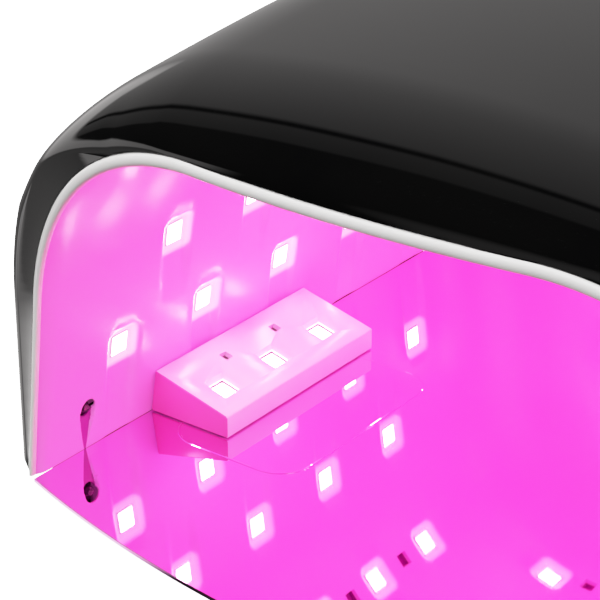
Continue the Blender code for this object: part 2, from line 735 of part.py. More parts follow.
def control_panel(gloss_black, smoked, grey):
    """The panel, its display window and its four buttons, each button's origin on its top."""
    panel = panel_plug(
        "control_panel",
        PANEL_WIDTH - 2 * GAP,
        PANEL_DEPTH - 2 * GAP,
        PANEL_CORNER - GAP,
        PANEL_CENTRE_Y,
        gloss_black,
    )
    hole = rounded_rectangle(WINDOW_WIDTH, WINDOW_DEPTH, WINDOW_CORNER, WINDOW_CENTRE_Y)
    combine(panel, prism("window_cutter", hole, TOP_CUT_LOW, TOP_CUT_HIGH, gloss_black), "DIFFERENCE")
    bore = [(BUTTON_RADIUS + GAP, TOP_CUT_LOW), (BUTTON_RADIUS + GAP, TOP_CUT_HIGH)]
    holes = [((x, BUTTON_Y, 0), WORLD_AXES[2], bore) for x in BUTTON_PLACES_X]
    combine(panel, turned("button_hole_cutter", holes, gloss_black), "DIFFERENCE")
    panel_plug(
        "display_window",
        WINDOW_WIDTH - 2 * GAP,
        WINDOW_DEPTH - 2 * GAP,
        WINDOW_CORNER - GAP,
        WINDOW_CENTRE_Y,
        smoked,
    )
    switch_top = CONTROL_BOARD_Z + CONTROL_BOARD_THICKNESS + GAP + SWITCH_PLUNGER_TOP
    for number, x in enumerate(BUTTON_PLACES_X, 1):
        top = top_surface_z(x) + BUTTON_PROUD
        flange_top = top_surface_z(x) - SHELL_WALL - 2 * GAP
        profile = [
            (BUTTON_STEM_RADIUS, switch_top + BUTTON_CLEARANCE),
            (BUTTON_STEM_RADIUS, flange_top - BUTTON_FLANGE),
            (BUTTON_FLANGE_RADIUS, flange_top - BUTTON_FLANGE),
            (BUTTON_FLANGE_RADIUS, flange_top),
            (BUTTON_RADIUS, flange_top),
            (BUTTON_RADIUS, top - BUTTON_EDGE),
            (BUTTON_RADIUS - BUTTON_EDGE, top),
        ]
        profile = [(radius, z - top) for radius, z in profile]
        cap = turned(f"timer_button_{number}", [((0, 0, 0), WORLD_AXES[2], profile)], grey)
        cap.location = (x, BUTTON_Y, top)


def reflector_liner(material, sites):
    """The cavity's inner wall, with a square window at each light and a round hole on each side."""
    liner = walled_solid("reflector_liner", liner_skin(LINER_WALL), liner_skin(0), material)
    cutters = []
    for group in sites.values():
        for site in group:
            cutters.append(plate_at(site, -WINDOW_REACH, 2 * WINDOW_REACH, WINDOW_SIZE, WINDOW_SIZE))
    combine(liner, boxes("led_window_cutter", cutters, material), "DIFFERENCE")
    hole = [(SENSOR_HOLE_RADIUS, 0), (SENSOR_HOLE_RADIUS, 2 * HALF_WIDTH)]
    bar = [((-HALF_WIDTH, SENSOR_Y, MIRROR_Z + SENSOR_HEIGHT), WORLD_AXES[0], hole)]
    combine(liner, turned("sensor_hole_cutter", bar, material), "DIFFERENCE")
    return liner


def rim_trim(material):
    """The strip that edges the opening, from foot to foot."""
    profile = opening_profile()
    inner = offset(profile, 0)
    outer = offset(profile, by_height(profile, TRIM_WIDTH_FOOT, TRIM_WIDTH_TOP))
    loops = []
    for (xi, zi), (xo, zo) in zip(inner, outer):
        front_in, front_out = front_y(xi) - TRIM_PROUD, front_y(xo) - TRIM_PROUD
        back_in, back_out = front_y(xi) + TRIM_DEPTH, front_y(xo) + TRIM_DEPTH
        loops.append([(xi, front_in, zi), (xo, front_out, zo), (xo, back_out, zo), (xi, back_in, zi)])
    return swept_bar("rim_trim", loops, material)


def light_boards(sites, material):
    for name, group in sites.items():
        low, high = BOARD_EDGES[name]
        board_on(name + "_led_board", group, low, high, material)


def block_slope():
    """Where the thumb block's top meets the wall, and the angle at which it rises to there."""
    wall_x = OPENING_HALF_WIDTH - BLOCK_BACK_HEIGHT * math.tan(WALL_LEAN) - GAP
    slope = math.atan2(BLOCK_BACK_HEIGHT - BLOCK_FRONT_HEIGHT, wall_x - BLOCK_INNER_X)
    return wall_x, slope


def thumb_block(side, sign, cover_material, board_material):
    """A hollow wedge with three lights in its top, and the small board that carries them."""
    wall_x, slope = block_slope()
    foot_x = OPENING_HALF_WIDTH - GAP
    bottom = HOOD_BOTTOM
    below = HOOD_BOTTOM - BLOCK_WALL
    front_top = MIRROR_Z + BLOCK_FRONT_HEIGHT
    outline = [
        (BLOCK_INNER_X, bottom),
        (BLOCK_INNER_X, front_top),
        (wall_x, MIRROR_Z + BLOCK_BACK_HEIGHT),
        (foot_x, bottom),
    ]
    end_y = BLOCK_START_Y + BLOCK_LENGTH
    outline = [(sign * x, z) for x, z in outline]
    cover = prism(f"{side}_thumb_block", outline, BLOCK_START_Y, end_y, cover_material, 1)
    drop = BLOCK_WALL / math.cos(slope)
    inner_front = BLOCK_INNER_X + BLOCK_WALL
    inner_back = wall_x - BLOCK_WALL
    hollow = [
        (inner_front, below),
        (inner_front, front_top + BLOCK_WALL * math.tan(slope) - drop),
        (inner_back, front_top + (inner_back - BLOCK_INNER_X) * math.tan(slope) - drop),
        (inner_back + BLOCK_FOOT_FLARE, below),
    ]
    cutter = prism(
        f"{side}_hollow_cutter",
        [(sign * x, z) for x, z in hollow],
        BLOCK_START_Y + BLOCK_WALL,
        end_y - BLOCK_WALL,
        cover_material,
        1,
    )
    combine(cover, cutter, "DIFFERENCE")
    out = Vector((-sign * math.sin(slope), 0, math.cos(slope)))
    up = Vector((sign * math.cos(slope), 0, math.sin(slope)))

    def site(x, y):
        z = front_top + (x - BLOCK_INNER_X) * math.tan(slope)
        return Vector((sign * x, y, z)), out, up

    first_y = BLOCK_START_Y + BLOCK_LED_START
    lights = [site(BLOCK_LED_X, first_y + BLOCK_LED_PITCH * step) for step in range(3)]
    holes = [site(BLOCK_HOLE_X, first_y + BLOCK_LED_PITCH * (step + 0.5)) for step in range(2)]
    deep = BLOCK_WALL + 3 * GAP
    cuts = [plate_at(place, -deep, 2 * deep, WINDOW_SIZE, WINDOW_SIZE) for place in lights]
    cuts += [plate_at(place, -deep, 2 * deep, BLOCK_HOLE_SIZE, BLOCK_HOLE_SIZE) for place in holes]
    combine(cover, boxes(f"{side}_block_window_cutter", cuts, cover_material), "DIFFERENCE")
    board_depth = -BLOCK_WALL - GAP - BLOCK_CHIP_THICKNESS - BLOCK_BOARD_THICKNESS
    middle = site((inner_front + inner_back) / 2, BLOCK_START_Y + BLOCK_LENGTH / 2)
    board_length = BLOCK_LENGTH - 2 * BLOCK_WALL - BLOCK_BOARD_MARGIN
    plate = plate_at(middle, board_depth, BLOCK_BOARD_THICKNESS, board_length, BLOCK_BOARD_WIDTH)
    board = boxes(f"{side}_block_led_board", [plate], board_material)
    seated = BLOCK_CHIP_THICKNESS + BLOCK_BOARD_THICKNESS / 2
    chips = [
        plate_at(place, board_depth + BLOCK_BOARD_THICKNESS / 2, seated, CHIP_SIZE, CHIP_SIZE)
        for place in lights
    ]
    combine(board, boxes(f"{side}_block_chips_guide", chips, board_material), "UNION")


def hand_sensor(name, sign, material):
    """A small body between liner and shell, whose lens looks through the hole in the wall."""
    z = MIRROR_Z + SENSOR_HEIGHT
    centre = (sign * (SENSOR_INNER_X + SENSOR_OUTER_X) / 2, SENSOR_Y, z)
    size = (SENSOR_OUTER_X - SENSOR_INNER_X, SENSOR_LENGTH, SENSOR_BODY_HEIGHT)
    body = boxes(name, [(centre, size, WORLD_AXES)], material)
    lens = [(0.0014, -0.001), (0.0014, 0.0016), (0.0009, 0.0023)]
    base = (sign * SENSOR_INNER_X, SENSOR_Y, z)
    dome = turned(name + "_lens_guide", [(base, (-sign, 0, 0), lens)], material, 12)
    combine(body, dome, "UNION")


def mirror_plate(material, rubber):
    """The mirror floor, rounded at the back, and the four feet under it."""
    front_steps = 9
    right = []
    for step in range(1, front_steps + 1):
        x = PLATE_HALF_WIDTH * math.sin(math.pi / 2 * step / front_steps)
        right.append((x, front_y(x)))
    right += corner_arc(PLATE_HALF_WIDTH - PLATE_CORNER_RADIUS, PLATE_CORNER_Y, PLATE_CORNER_RADIUS)
    outline = both_sides(right)
    outline.append((0, FRONT_Y))
    prism("mirror_base_plate", outline, PLATE_BOTTOM, MIRROR_Z, material)
    profile = [(FOOT_RADIUS - FOOT_EDGE, 0), (FOOT_RADIUS, FOOT_EDGE), (FOOT_RADIUS, FOOT_HEIGHT)]
    for number, (x, y) in enumerate(FOOT_PLACES, 1):
        turned(f"base_foot_{number}", [((x, y, 0), WORLD_AXES[2], profile)], rubber)


def base_frame(material):
    """A U-shaped frame between liner and shell: rails under the legs and a web across the back."""
    liner_outer_y = LINER_BACK_Y + LINER_WALL + GAP
    outer_radius = BACK_CORNER_RADIUS - SHELL_WALL - GAP
    outer = corner_arc(HALF_WIDTH - BACK_CORNER_RADIUS, HALF_DEPTH - BACK_CORNER_RADIUS, outer_radius)
    start_y = RAIL_END_Y - RAIL_OVERLAP
    right = [(RAIL_OUTER_X, start_y)] + outer
    inner_radius = LINER_BACK_RADIUS + LINER_WALL + GAP
    inner = corner_arc(RAIL_INNER_X - inner_radius, liner_outer_y - inner_radius, inner_radius)
    inner = [(RAIL_INNER_X, start_y)] + inner
    outline = both_sides(right) + inner_loop(inner)
    frame = prism("base_frame", outline, HOOD_BOTTOM, REAR_FRAME_TOP, material)
    section = [
        (RAIL_OUTER_X, RAIL_BOTTOM),
        (RAIL_OUTER_X, RAIL_TOP),
        (RAIL_INNER_X, RAIL_TOP),
        (RAIL_INNER_X, MIRROR_Z),
        (PLATE_HALF_WIDTH + GAP, MIRROR_Z),
        (PLATE_HALF_WIDTH + GAP, FOOT_HEIGHT),
        (RAIL_LIP_X, FOOT_HEIGHT),
        (RAIL_LIP_X, RAIL_BOTTOM),
    ]
    for side, sign in (("left", -1), ("right", 1)):
        rail = [(sign * x, z) for x, z in section]
        guide = prism(f"{side}_rail_guide", rail, RAIL_START_Y, RAIL_END_Y, material, 1)
        combine(frame, guide, "UNION")
    stop_y = PLATE_CORNER_Y + PLATE_CORNER_RADIUS + GAP
    low = (-STOP_HALF_WIDTH, stop_y, RAIL_BOTTOM)
    high = (STOP_HALF_WIDTH, stop_y + STOP_DEPTH, HOOD_BOTTOM + STOP_OVERLAP)
    combine(frame, box_between("plate_stop_guide", low, high, material), "UNION")
    size = (MAGNET_WINDOW_DEPTH, MAGNET_SIZE[1] + 2 * GAP, MAGNET_SIZE[2] + 2 * GAP)
    windows = [((x, y, MAGNET_Z), size, WORLD_AXES) for x, y in magnet_places()]
    combine(frame, boxes("magnet_window_cutter", windows, material), "DIFFERENCE")
    deep = HOOD_BOTTOM + COUNTERBORE_DEPTH
    profile = [
        (COUNTERBORE_RADIUS, HOOD_BOTTOM - GAP),
        (COUNTERBORE_RADIUS, deep),
        (BOSS_BORE, deep),
        (BOSS_BORE, REAR_FRAME_TOP + GAP),
    ]
    holes = [((x, y, 0), WORLD_AXES[2], profile) for x, y, back in SCREW_PLACES]
    combine(frame, turned("screw_hole_cutter", holes, material, 12), "DIFFERENCE")


def inner_loop(points):
    """The inner edge of a U shape, from the left start round the back to the right start."""
    left = [(-x, y) for x, y in points]
    return left + list(reversed(points))


def magnet_places():
    middle = (RAIL_OUTER_X + RAIL_INNER_X) / 2
    return [(sign * middle, y) for sign in (-1, 1) for y in MAGNET_PLACES_Y]


def fasteners(steel, nickel, brass):
    """The magnets in the rails, the frame's screws, and the control board's spacers and screws."""
    for number, (x, y) in enumerate(magnet_places(), 1):
        boxes(f"plate_magnet_{number}", [((x, y, MAGNET_Z), MAGNET_SIZE, WORLD_AXES)], nickel)
    head_low = HOOD_BOTTOM + 0.0001
    edge = 0.0004
    profile = [
        (SCREW_HEAD - edge, head_low),
        (SCREW_HEAD, head_low + edge),
        (SCREW_HEAD, head_low + SCREW_HEAD_HEIGHT),
        (SCREW_SHANK, head_low + SCREW_HEAD_HEIGHT),
        (SCREW_SHANK, SCREW_TIP_Z),
    ]
    for number, (x, y, back) in enumerate(SCREW_PLACES, 1):
        turned(f"frame_screw_{number}", [((x, y, 0), WORLD_AXES[2], profile)], steel, 12)
    board_top = CONTROL_BOARD_Z + CONTROL_BOARD_THICKNESS
    low = ceiling_board_top() + GAP
    head_low = board_top + GAP
    shank, head = POST_BORE - GAP, 0.0021
    screw = [
        (shank, low + GAP),
        (shank, head_low),
        (head, head_low),
        (head, head_low + SCREW_HEAD_HEIGHT),
        (head - edge, head_low + SCREW_HEAD_HEIGHT + edge),
    ]
    length = CONTROL_BOARD_Z - GAP - low
    for number, (x, y) in enumerate(POST_PLACES, 1):
        tube = ((x, y, low), WORLD_AXES[2], POST_RADIUS, POST_BORE, length)
        tubes(f"board_spacer_{number}", [tube], brass)
        turned(f"board_screw_{number}", [((x, y, 0), WORLD_AXES[2], screw)], steel, 12)


def ceiling_board_top():
    return MIRROR_Z + OPENING_HEIGHT + BOARD_OFFSET + BOARD_THICKNESS


def electronics(board_material, dark, metal, red):
    """The control board under the panel with its parts, and the inlet socket in the shell's back."""
    low_y, high_y = CONTROL_BOARD_Y
    board_top = CONTROL_BOARD_Z + CONTROL_BOARD_THICKNESS
    board = box_between(
        "control_board",
        (-CONTROL_BOARD_HALF_WIDTH, low_y, CONTROL_BOARD_Z),
        (CONTROL_BOARD_HALF_WIDTH, high_y, board_top),
        board_material,
    )
    bore = [(POST_BORE, TOP_CUT_LOW), (POST_BORE, TOP_CUT_HIGH)]
    holes = [((x, y, 0), WORLD_AXES[2], bore) for x, y in POST_PLACES]
    combine(board, turned("board_hole_cutter", holes, board_material, 12), "DIFFERENCE")
    low = board_top + GAP
    for number, x in enumerate(BUTTON_PLACES_X, 1):
        body = ((x, BUTTON_Y, low + SWITCH_HEIGHT / 2), (0.006, 0.006, SWITCH_HEIGHT), WORLD_AXES)
        switch = boxes(f"button_switch_{number}", [body], dark)
        plunger = [(0.0017, SWITCH_HEIGHT / 2), (0.0017, SWITCH_PLUNGER_TOP)]
        place = (x, BUTTON_Y, low)
        guide = turned(f"plunger_guide_{number}", [(place, WORLD_AXES[2], plunger)], dark, 12)
        combine(switch, guide, "UNION")
    half_width, half_depth = WINDOW_WIDTH / 2, WINDOW_DEPTH / 2
    display_top = top_surface_z(half_width) - SHELL_WALL - 3 * GAP
    box_between(
        "digit_display",
        (DISPLAY_MARGIN - half_width, WINDOW_CENTRE_Y + DISPLAY_MARGIN - half_depth, low),
        (half_width - DISPLAY_MARGIN, WINDOW_CENTRE_Y + half_depth - DISPLAY_MARGIN, display_top),
        red,
    )
    box_between("driver_transistors", (-0.024, 0.0585, low), (0.024, 0.0625, low + 0.0045), dark)
    back_y = HALF_DEPTH - 0.0001
    low_z = REAR_FRAME_TOP + GAP
    high_z = JACK_TOP - GAP
    half = JACK_WIDTH / 2
    jack = box_between("power_inlet", (-half, JACK_FRONT_Y, low_z), (half, back_y, high_z), dark)
    mouth = (0, back_y, (low_z + high_z) / 2)
    bore = [(JACK_BORE, -JACK_BORE_DEPTH), (JACK_BORE, GAP)]
    combine(jack, turned("inlet_bore_cutter", [(mouth, WORLD_AXES[1], bore)], dark), "DIFFERENCE")
    pin_start = GAP - JACK_BORE_DEPTH
    tip = pin_start + JACK_PIN_LENGTH
    pin = [(JACK_PIN, pin_start), (JACK_PIN, tip - 0.0005), (JACK_PIN - 0.0004, tip)]
    turned("inlet_centre_pin", [(mouth, WORLD_AXES[1], pin)], metal, 12)


def wiring(red):
    """A wire from the control board down to each wall board, and one up from the inlet."""
    wall_top = MIRROR_Z + WALL_LED_ROWS[0][0] + WALL_BOARD_TOP
    for side, sign in (("left", -1), ("right", 1)):
        route = [
            (0.0424, 0.1014),
            (0.052, 0.1016),
            (0.064, 0.0985),
            (0.076, 0.0912),
            (0.086, 0.0795),
            (0.0912, 0.067),
            (0.0911, wall_top + 0.0012),
        ]
        wire(f"{side}_wiring", smooth_path([(sign * x, WIRE_Y, z) for x, z in route]), red)
    route = [
        (0.1035, JACK_TOP + 0.0002),
        (0.1038, 0.045),
        (0.1015, 0.072),
        (0.093, 0.090),
        (0.081, 0.0995),
        (0.071, 0.1014),
        (0.0644, 0.1014),
    ]
    wire("inlet_wiring", smooth_path([(0, y, z) for y, z in route]), red)


def clear_scene():
    for thing in list(bpy.data.objects):
        bpy.data.objects.remove(thing)


def main():
    clear_scene()
    gloss_black = principled("gloss_black", (0.01, 0.01, 0.01), 0.06)
    off_white = principled("off_white", (0.75, 0.74, 0.72), 0.3)
    reflector = principled("reflector_pink", (0.95, 0.45, 0.85), 0.2)
    mirror = principled("mirror_steel", (0.9, 0.88, 0.9), 0.03, 1.0)
    black_plastic = principled("black_plastic", (0.02, 0.02, 0.02), 0.5)
    rubber = principled("black_rubber", (0.03, 0.03, 0.03), 0.8)
    button_grey = principled("button_grey", (0.55, 0.55, 0.56), 0.35)
    smoked = principled("smoked_window", (0.02, 0.005, 0.01), 0.05)
    board_white = principled("board_white", (0.8, 0.8, 0.78), 0.4)
    board_green = principled("board_green", (0.02, 0.15, 0.06), 0.45)
    steel = principled("screw_steel", (0.5, 0.5, 0.5), 0.3, 1.0)
    nickel = principled("magnet_nickel", (0.65, 0.63, 0.6), 0.2, 1.0)
    brass = principled("spacer_brass", (0.7, 0.5, 0.2), 0.3, 1.0)
    sensor_dark = principled("sensor_dark", (0.03, 0.01, 0.04), 0.2)
    wire_red = principled("wire_red", (0.4, 0.02, 0.02), 0.5)

    sites = led_sites()
    outer_shell(gloss_black)
    control_panel(gloss_black, smoked, button_grey)
    rim_trim(off_white)
    reflector_liner(reflector, sites)
    light_boards(sites, board_white)
    for side, sign in (("left", -1), ("right", 1)):
        thumb_block(side, sign, reflector, board_white)
    hand_sensor("hand_sensor_emitter", -1, sensor_dark)
    hand_sensor("hand_sensor_receiver", 1, sensor_dark)
    mirror_plate(mirror, rubber)
    base_frame(black_plastic)
    fasteners(steel, nickel, brass)
    electronics(board_green, black_plastic, steel, smoked)
    wiring(wire_red)


main()
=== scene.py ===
"""The looks of a UV LED nail lamp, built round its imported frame. Metres, +Z up, opening towards -Y."""

import math

import bmesh
import bpy
import numpy as np
from mathutils import Matrix, Vector
from mathutils.geometry import delaunay_2d_cdt
from mathutils.kdtree import KDTree


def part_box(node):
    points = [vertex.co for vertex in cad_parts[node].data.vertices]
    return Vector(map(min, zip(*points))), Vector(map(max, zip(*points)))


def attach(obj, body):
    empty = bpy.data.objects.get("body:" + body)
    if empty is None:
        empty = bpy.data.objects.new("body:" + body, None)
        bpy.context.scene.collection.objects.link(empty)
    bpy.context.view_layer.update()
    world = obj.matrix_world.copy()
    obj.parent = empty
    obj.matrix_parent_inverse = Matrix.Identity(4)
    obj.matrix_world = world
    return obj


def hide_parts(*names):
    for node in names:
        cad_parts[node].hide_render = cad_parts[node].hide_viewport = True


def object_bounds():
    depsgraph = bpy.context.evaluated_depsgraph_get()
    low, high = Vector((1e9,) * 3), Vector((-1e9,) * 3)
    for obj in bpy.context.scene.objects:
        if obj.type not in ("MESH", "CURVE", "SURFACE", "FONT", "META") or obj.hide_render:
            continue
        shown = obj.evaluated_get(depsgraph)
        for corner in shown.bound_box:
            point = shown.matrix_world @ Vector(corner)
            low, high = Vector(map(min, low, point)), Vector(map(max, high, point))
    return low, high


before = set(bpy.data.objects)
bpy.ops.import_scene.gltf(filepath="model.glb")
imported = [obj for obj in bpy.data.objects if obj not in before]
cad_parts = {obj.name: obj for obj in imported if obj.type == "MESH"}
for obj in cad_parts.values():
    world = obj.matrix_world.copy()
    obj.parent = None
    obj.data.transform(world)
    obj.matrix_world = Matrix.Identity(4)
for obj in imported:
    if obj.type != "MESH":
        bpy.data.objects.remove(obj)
cad_low, cad_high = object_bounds()

# Sizes that the frame gives.
HALF_WIDTH = cad_high.x
HALF_DEPTH = cad_high.y
HOOD_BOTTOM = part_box("reflector_liner")[0].z
PLATE_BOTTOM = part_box("mirror_base_plate")[0].z
MIRROR_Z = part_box("mirror_base_plate")[1].z
PLATE_HALF_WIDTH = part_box("mirror_base_plate")[1].x
LINER_BACK_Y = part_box("reflector_liner")[1].y - 0.0018

# The design's own values, as in the frame's source: the opening and the rim strip round it.
FRONT_BOW = 0.015
OPENING_HALF_WIDTH = 0.0943
OPENING_HEIGHT = 0.0905
CORNER_RADIUS = 0.052
WALL_LEAN = math.radians(8.5)
GAP = 0.0003
TRIM_PROUD = 0.0005
TRIM_DEPTH = 0.0022
TRIM_WIDTH_FOOT = 0.0018
TRIM_WIDTH_TOP = 0.0027
TRIM_OVERLAP = 0.0002
RIM_FACE_DEPTH = 0.0007
RIM_FACE_RISE = 0.0012
RIM_FACE_STEPS = 8
RIM_INNER_FOOT = 0.0006

# The shell.
SHELL_HEIGHT_FRONT = 0.1055
SHELL_HEIGHT_TOP = 0.1100
SHELL_WALL = 0.002
SHOULDER_RADIUS_FRONT = 0.0635
SHOULDER_RADIUS_CREST = 0.0525
CROWN_ANGLE_FRONT = math.radians(10)
CROWN_ANGLE_CREST = math.radians(6.5)
LEG_STEPS, SHOULDER_STEPS, CROWN_STEPS = 10, 36, 24
FRONT_BEVEL_STEPS, BODY_STEPS, BACK_STEPS = 20, 20, 24
FOOT_CHAMFER = 0.0015
FASCIA_INSET_FOOT = 0.0028
FASCIA_INSET_SIDE = 0.0038
FASCIA_INSET_TOP = 0.0115
FASCIA_INSET_START = 0.7
FASCIA_EXTRA_DEPTH = 0.0225
FASCIA_DEPTH_START = 0.6
BACK_CORNER_RADIUS = 0.050
BACK_TOP_DROP = 0.032
BACK_SHOULDER_LOSS = 0.0235
CREST_Y = 0.010
VENT_HEIGHT = 0.0022
VENT_LENGTH = 0.028
VENT_CENTRE_X = 0.031
VENT_FIRST_Z = 0.034
VENT_PITCH = 0.005
VENT_COUNT = 5
INLET_CORNER = 0.0015

# Lights. A wall row is (height, first y, pitch, count, reach of the grooves below), a back row (height, xs).
WALL_LED_ROWS = ((0.02295, -0.0695, 0.030, 5, 0.026), (0.0456, -0.0533, 0.0293, 4, 0.017))
SHOULDER_LED_TURN = math.radians(42.6)
SHOULDER_LED_YS = [-0.0374 + 0.0237 * step for step in range(4)]
CEILING_LED_X = 0.050
CEILING_LED_YS = [-0.056 + 0.029 * step for step in range(5)]
BACK_LED_ROWS = ((0.0228, (-0.0333, 0, 0.0333)), (0.044, (-0.050, -0.0167, 0.0167, 0.050)))
CHIP_SIZE = 0.005
VISIBLE_CHIP_OFFSET = 0.0013
BOARD_OFFSET = 0.0038
BOARD_THICKNESS = 0.0012
WALL_BOARD_TOP = 0.031
# Each board's low and high corners, from its first light.
BOARD_EDGES = {
    "ceiling": ((-0.058, -0.010), (0.058, 0.126)),
    "back_wall": ((-0.0883, -0.011), (0.0217, 0.034)),
    "left_wall": ((-0.1275, -0.015), (0.0070, WALL_BOARD_TOP)),
    "left_shoulder": ((-0.0791, -0.006), (0.008, 0.006)),
    "right_wall": ((-0.0070, -0.015), (0.1275, WALL_BOARD_TOP)),
    "right_shoulder": ((-0.008, -0.006), (0.0791, 0.006)),
}

# The liner: pockets round its lights, small square dimples, and the hand sensor's hole and channel.
LINER_BACK_RADIUS = 0.032
LINER_CORNER_Y = LINER_BACK_Y - LINER_BACK_RADIUS
LINER_CORNER_REACH = 0.0085
LINER_CORNER_STEPS = 16
LINER_FRONT_START = 0.0013
LINER_FRONT_STEPS = 10
LINER_FLARE = 0.0003
LINER_REACH_DOWN = 0.00024
LINER_SKIN = 0.00045
FIRST_ROW_Y = -0.0925
GRID_STEP = 0.005
GRID_NEAREST, GRID_APART = 0.00012, 0.0002
WINDOW_HALF = 0.00285
POCKET_FLARE = 0.0028
POCKET_DEPTH = 0.0017
POCKET_CORNER = 0.0006
POCKET_OFFSETS = (WINDOW_HALF, 0.0033, 0.0039, 0.0047, 0.0056)
BACK_POCKET_HALF = 0.0050
BACK_POCKET_CORNER = 0.0017
BACK_POCKET_STEPS = 6
DIMPLE_HALF = 0.0016
DIMPLE_DEPTH = 0.0022
DIMPLE_OFFSETS = (DIMPLE_HALF, 0.0019)
SHOULDER_DIMPLE_Y = -0.0119
CEILING_DIMPLE = (0.0106, 0.0031)
SENSOR_Y = -0.0802
SENSOR_HEIGHT = 0.011
SENSOR_RADIUS = 0.0024
SENSOR_CORE = SENSOR_RADIUS + 0.0007
SENSOR_PATCH = 0.0042
SENSOR_OFFSETS = (SENSOR_PATCH, SENSOR_CORE, SENSOR_RADIUS, 0.0018, 0.0012, 0.0006)
SENSOR_RINGS = (0.3, 0.5, 0.65, 0.76, 0.84, 0.9, 0.95, 1.0)
SENSOR_LINES_BELOW = (0.0055, 0.0070, 0.0085, 0.0100)
SENSOR_CHANNEL_DEPTH = 0.0012

# Thumb light blocks.
BLOCK_START_Y = -0.0574
BLOCK_LENGTH = 0.0575
BLOCK_INNER_X = 0.071
BLOCK_FRONT_HEIGHT = 0.0058
BLOCK_BACK_HEIGHT = 0.0112
BLOCK_WALL = 0.0013
BLOCK_LED_X = 0.0789
BLOCK_LED_START = 0.009
BLOCK_LED_PITCH = 0.0189
BLOCK_HOLE_X = 0.086
BLOCK_HOLE_SIZE = 0.0025
BLOCK_WINDOW_FRAME = 0.0073
BLOCK_WINDOW_HALF = 0.0026
BLOCK_CUT_DEPTH = 0.003
BLOCK_BOARD_WIDTH = 0.0162

# Plate.
PLATE_CORNER_Y = 0.062
PLATE_CORNER_RADIUS = 0.032
PLATE_EDGE = 0.00015
FOOT_PLACES = ((-0.070, -0.075), (0.070, -0.075), (-0.060, 0.070), (0.060, 0.070))
RIB_CENTRE = (0.0665, -0.0345)
RIB_SIZE = (0.036, 0.059)
RIB_RADIUS = 0.0085
RIB_HALF = 0.00035
RIB_HEIGHT = 0.00016
RIB_SINK = 0.00005

# Control panel.
PANEL_WIDTH = 0.084
PANEL_DEPTH = 0.040
PANEL_CENTRE_Y = 0.040
PANEL_CORNER = 0.008
BELOW_PANEL, ABOVE_PANEL = 0.09, 0.13
WINDOW_WIDTH = 0.030
WINDOW_DEPTH = 0.014
WINDOW_CENTRE_Y = 0.050
WINDOW_CORNER = 0.002
BUTTON_Y = 0.030
BUTTON_PLACES_X = (-0.030, -0.010, 0.010, 0.030)
BUTTON_RADIUS = 0.0045
BUTTON_DISH = 0.0002
BUTTON_LABELS = ("10", "30", "60", "90")
LABEL_SIZE = 0.0042
LABEL_RISE = 0.00006
DIGITS = "60"
DIGIT_X = 0.0034
DIGIT_SLANT = 0.08
SEGMENT_LENGTH = 0.0036
SEGMENT_THICKNESS = 0.0008
SEGMENTS_OF = {"6": "acdefg", "0": "abcdef"}
# Each segment's place in halves of the digit, and whether it is upright.
SEGMENT_PLACES = {
    "a": (0, 1, False), "b": (0.5, 0.5, True), "c": (0.5, -0.5, True), "d": (0, -1, False),
    "e": (-0.5, -0.5, True), "f": (-0.5, 0.5, True), "g": (0, 0, False),
}

# The studio's brightness from front to back: (half of 1 + the direction's y, brightness).
BACKDROP = (
    (0.0, 0.32), (0.03, 0.26), (0.08, 0.02), (0.56, 0.02), (0.575, 0.12), (0.655, 0.16), (0.665, 0.01),
    (0.675, 0.01), (0.69, 0.28), (0.83, 0.38), (0.88, 0.46), (1.0, 0.5),
)
# The same for its left and right sides, from low to high: (half of 1 + the direction's z, brightness).
LEFT_SIDE = (
    (0.0, 1.8), (0.284, 1.8), (0.293, 0.35), (0.42, 0.25), (0.45, 1.1), (0.54, 1.1), (0.56, 0.0), (1.0, 0.0),
)
RIGHT_SIDE = ((0.0, 0.02), (0.5, 0.04), (0.78, 0.5), (0.9, 0.25), (1.0, 0.1))
CAMERA_WHITE = 4.0
CAMERA_PLACE = (0.1994, -0.3896, 0.2428)
CAMERA_ANGLES = (36.92, 25.49)
CAMERA_LENS = 127.97
# Each one's name, place, size, power, and whether glossy surfaces show it.
SOFTBOXES = (
    ("front_softbox", (0.1, -1.4, 1.1), (1.2, 0.8), 22, False),
    ("top_softbox", (-0.2, -0.3, 1.6), (1.0, 1.0), 26, False),
    ("right_softbox", (1.5, -0.7, 0.9), (0.8, 1.2), 7, True),
)
# How the picture's highlights roll off: (light, what is shown).
HIGHLIGHT_LEVEL = 4.0
HIGHLIGHTS = ((0.3, 0.3), (0.6, 0.53), (1.0, 0.73), (1.6, 0.87), (2.6, 0.96))

# Painted light: the liner and the blocks glow faintly pink all over, in place of the light that bounces round
# the cavity.
LINER_PAINTED_GLOW = 0.15
# Painted light: a stronger, paler glow on each pocket's walls, in place of its own LED's light falling on
# them.
HALO_PAINTED_GLOW = 0.9
PAINTED_GLOW_COLOUR = (1.0, 0.10, 0.66)
HALO_PAINTED_COLOUR = (1.0, 0.62, 0.95)
# Painted shade: a dark colour for the liner's dimples and the sensor's channel, where little light reaches.
RECESS_SHADE_COLOUR = (0.27, 0.01, 0.26, 1)

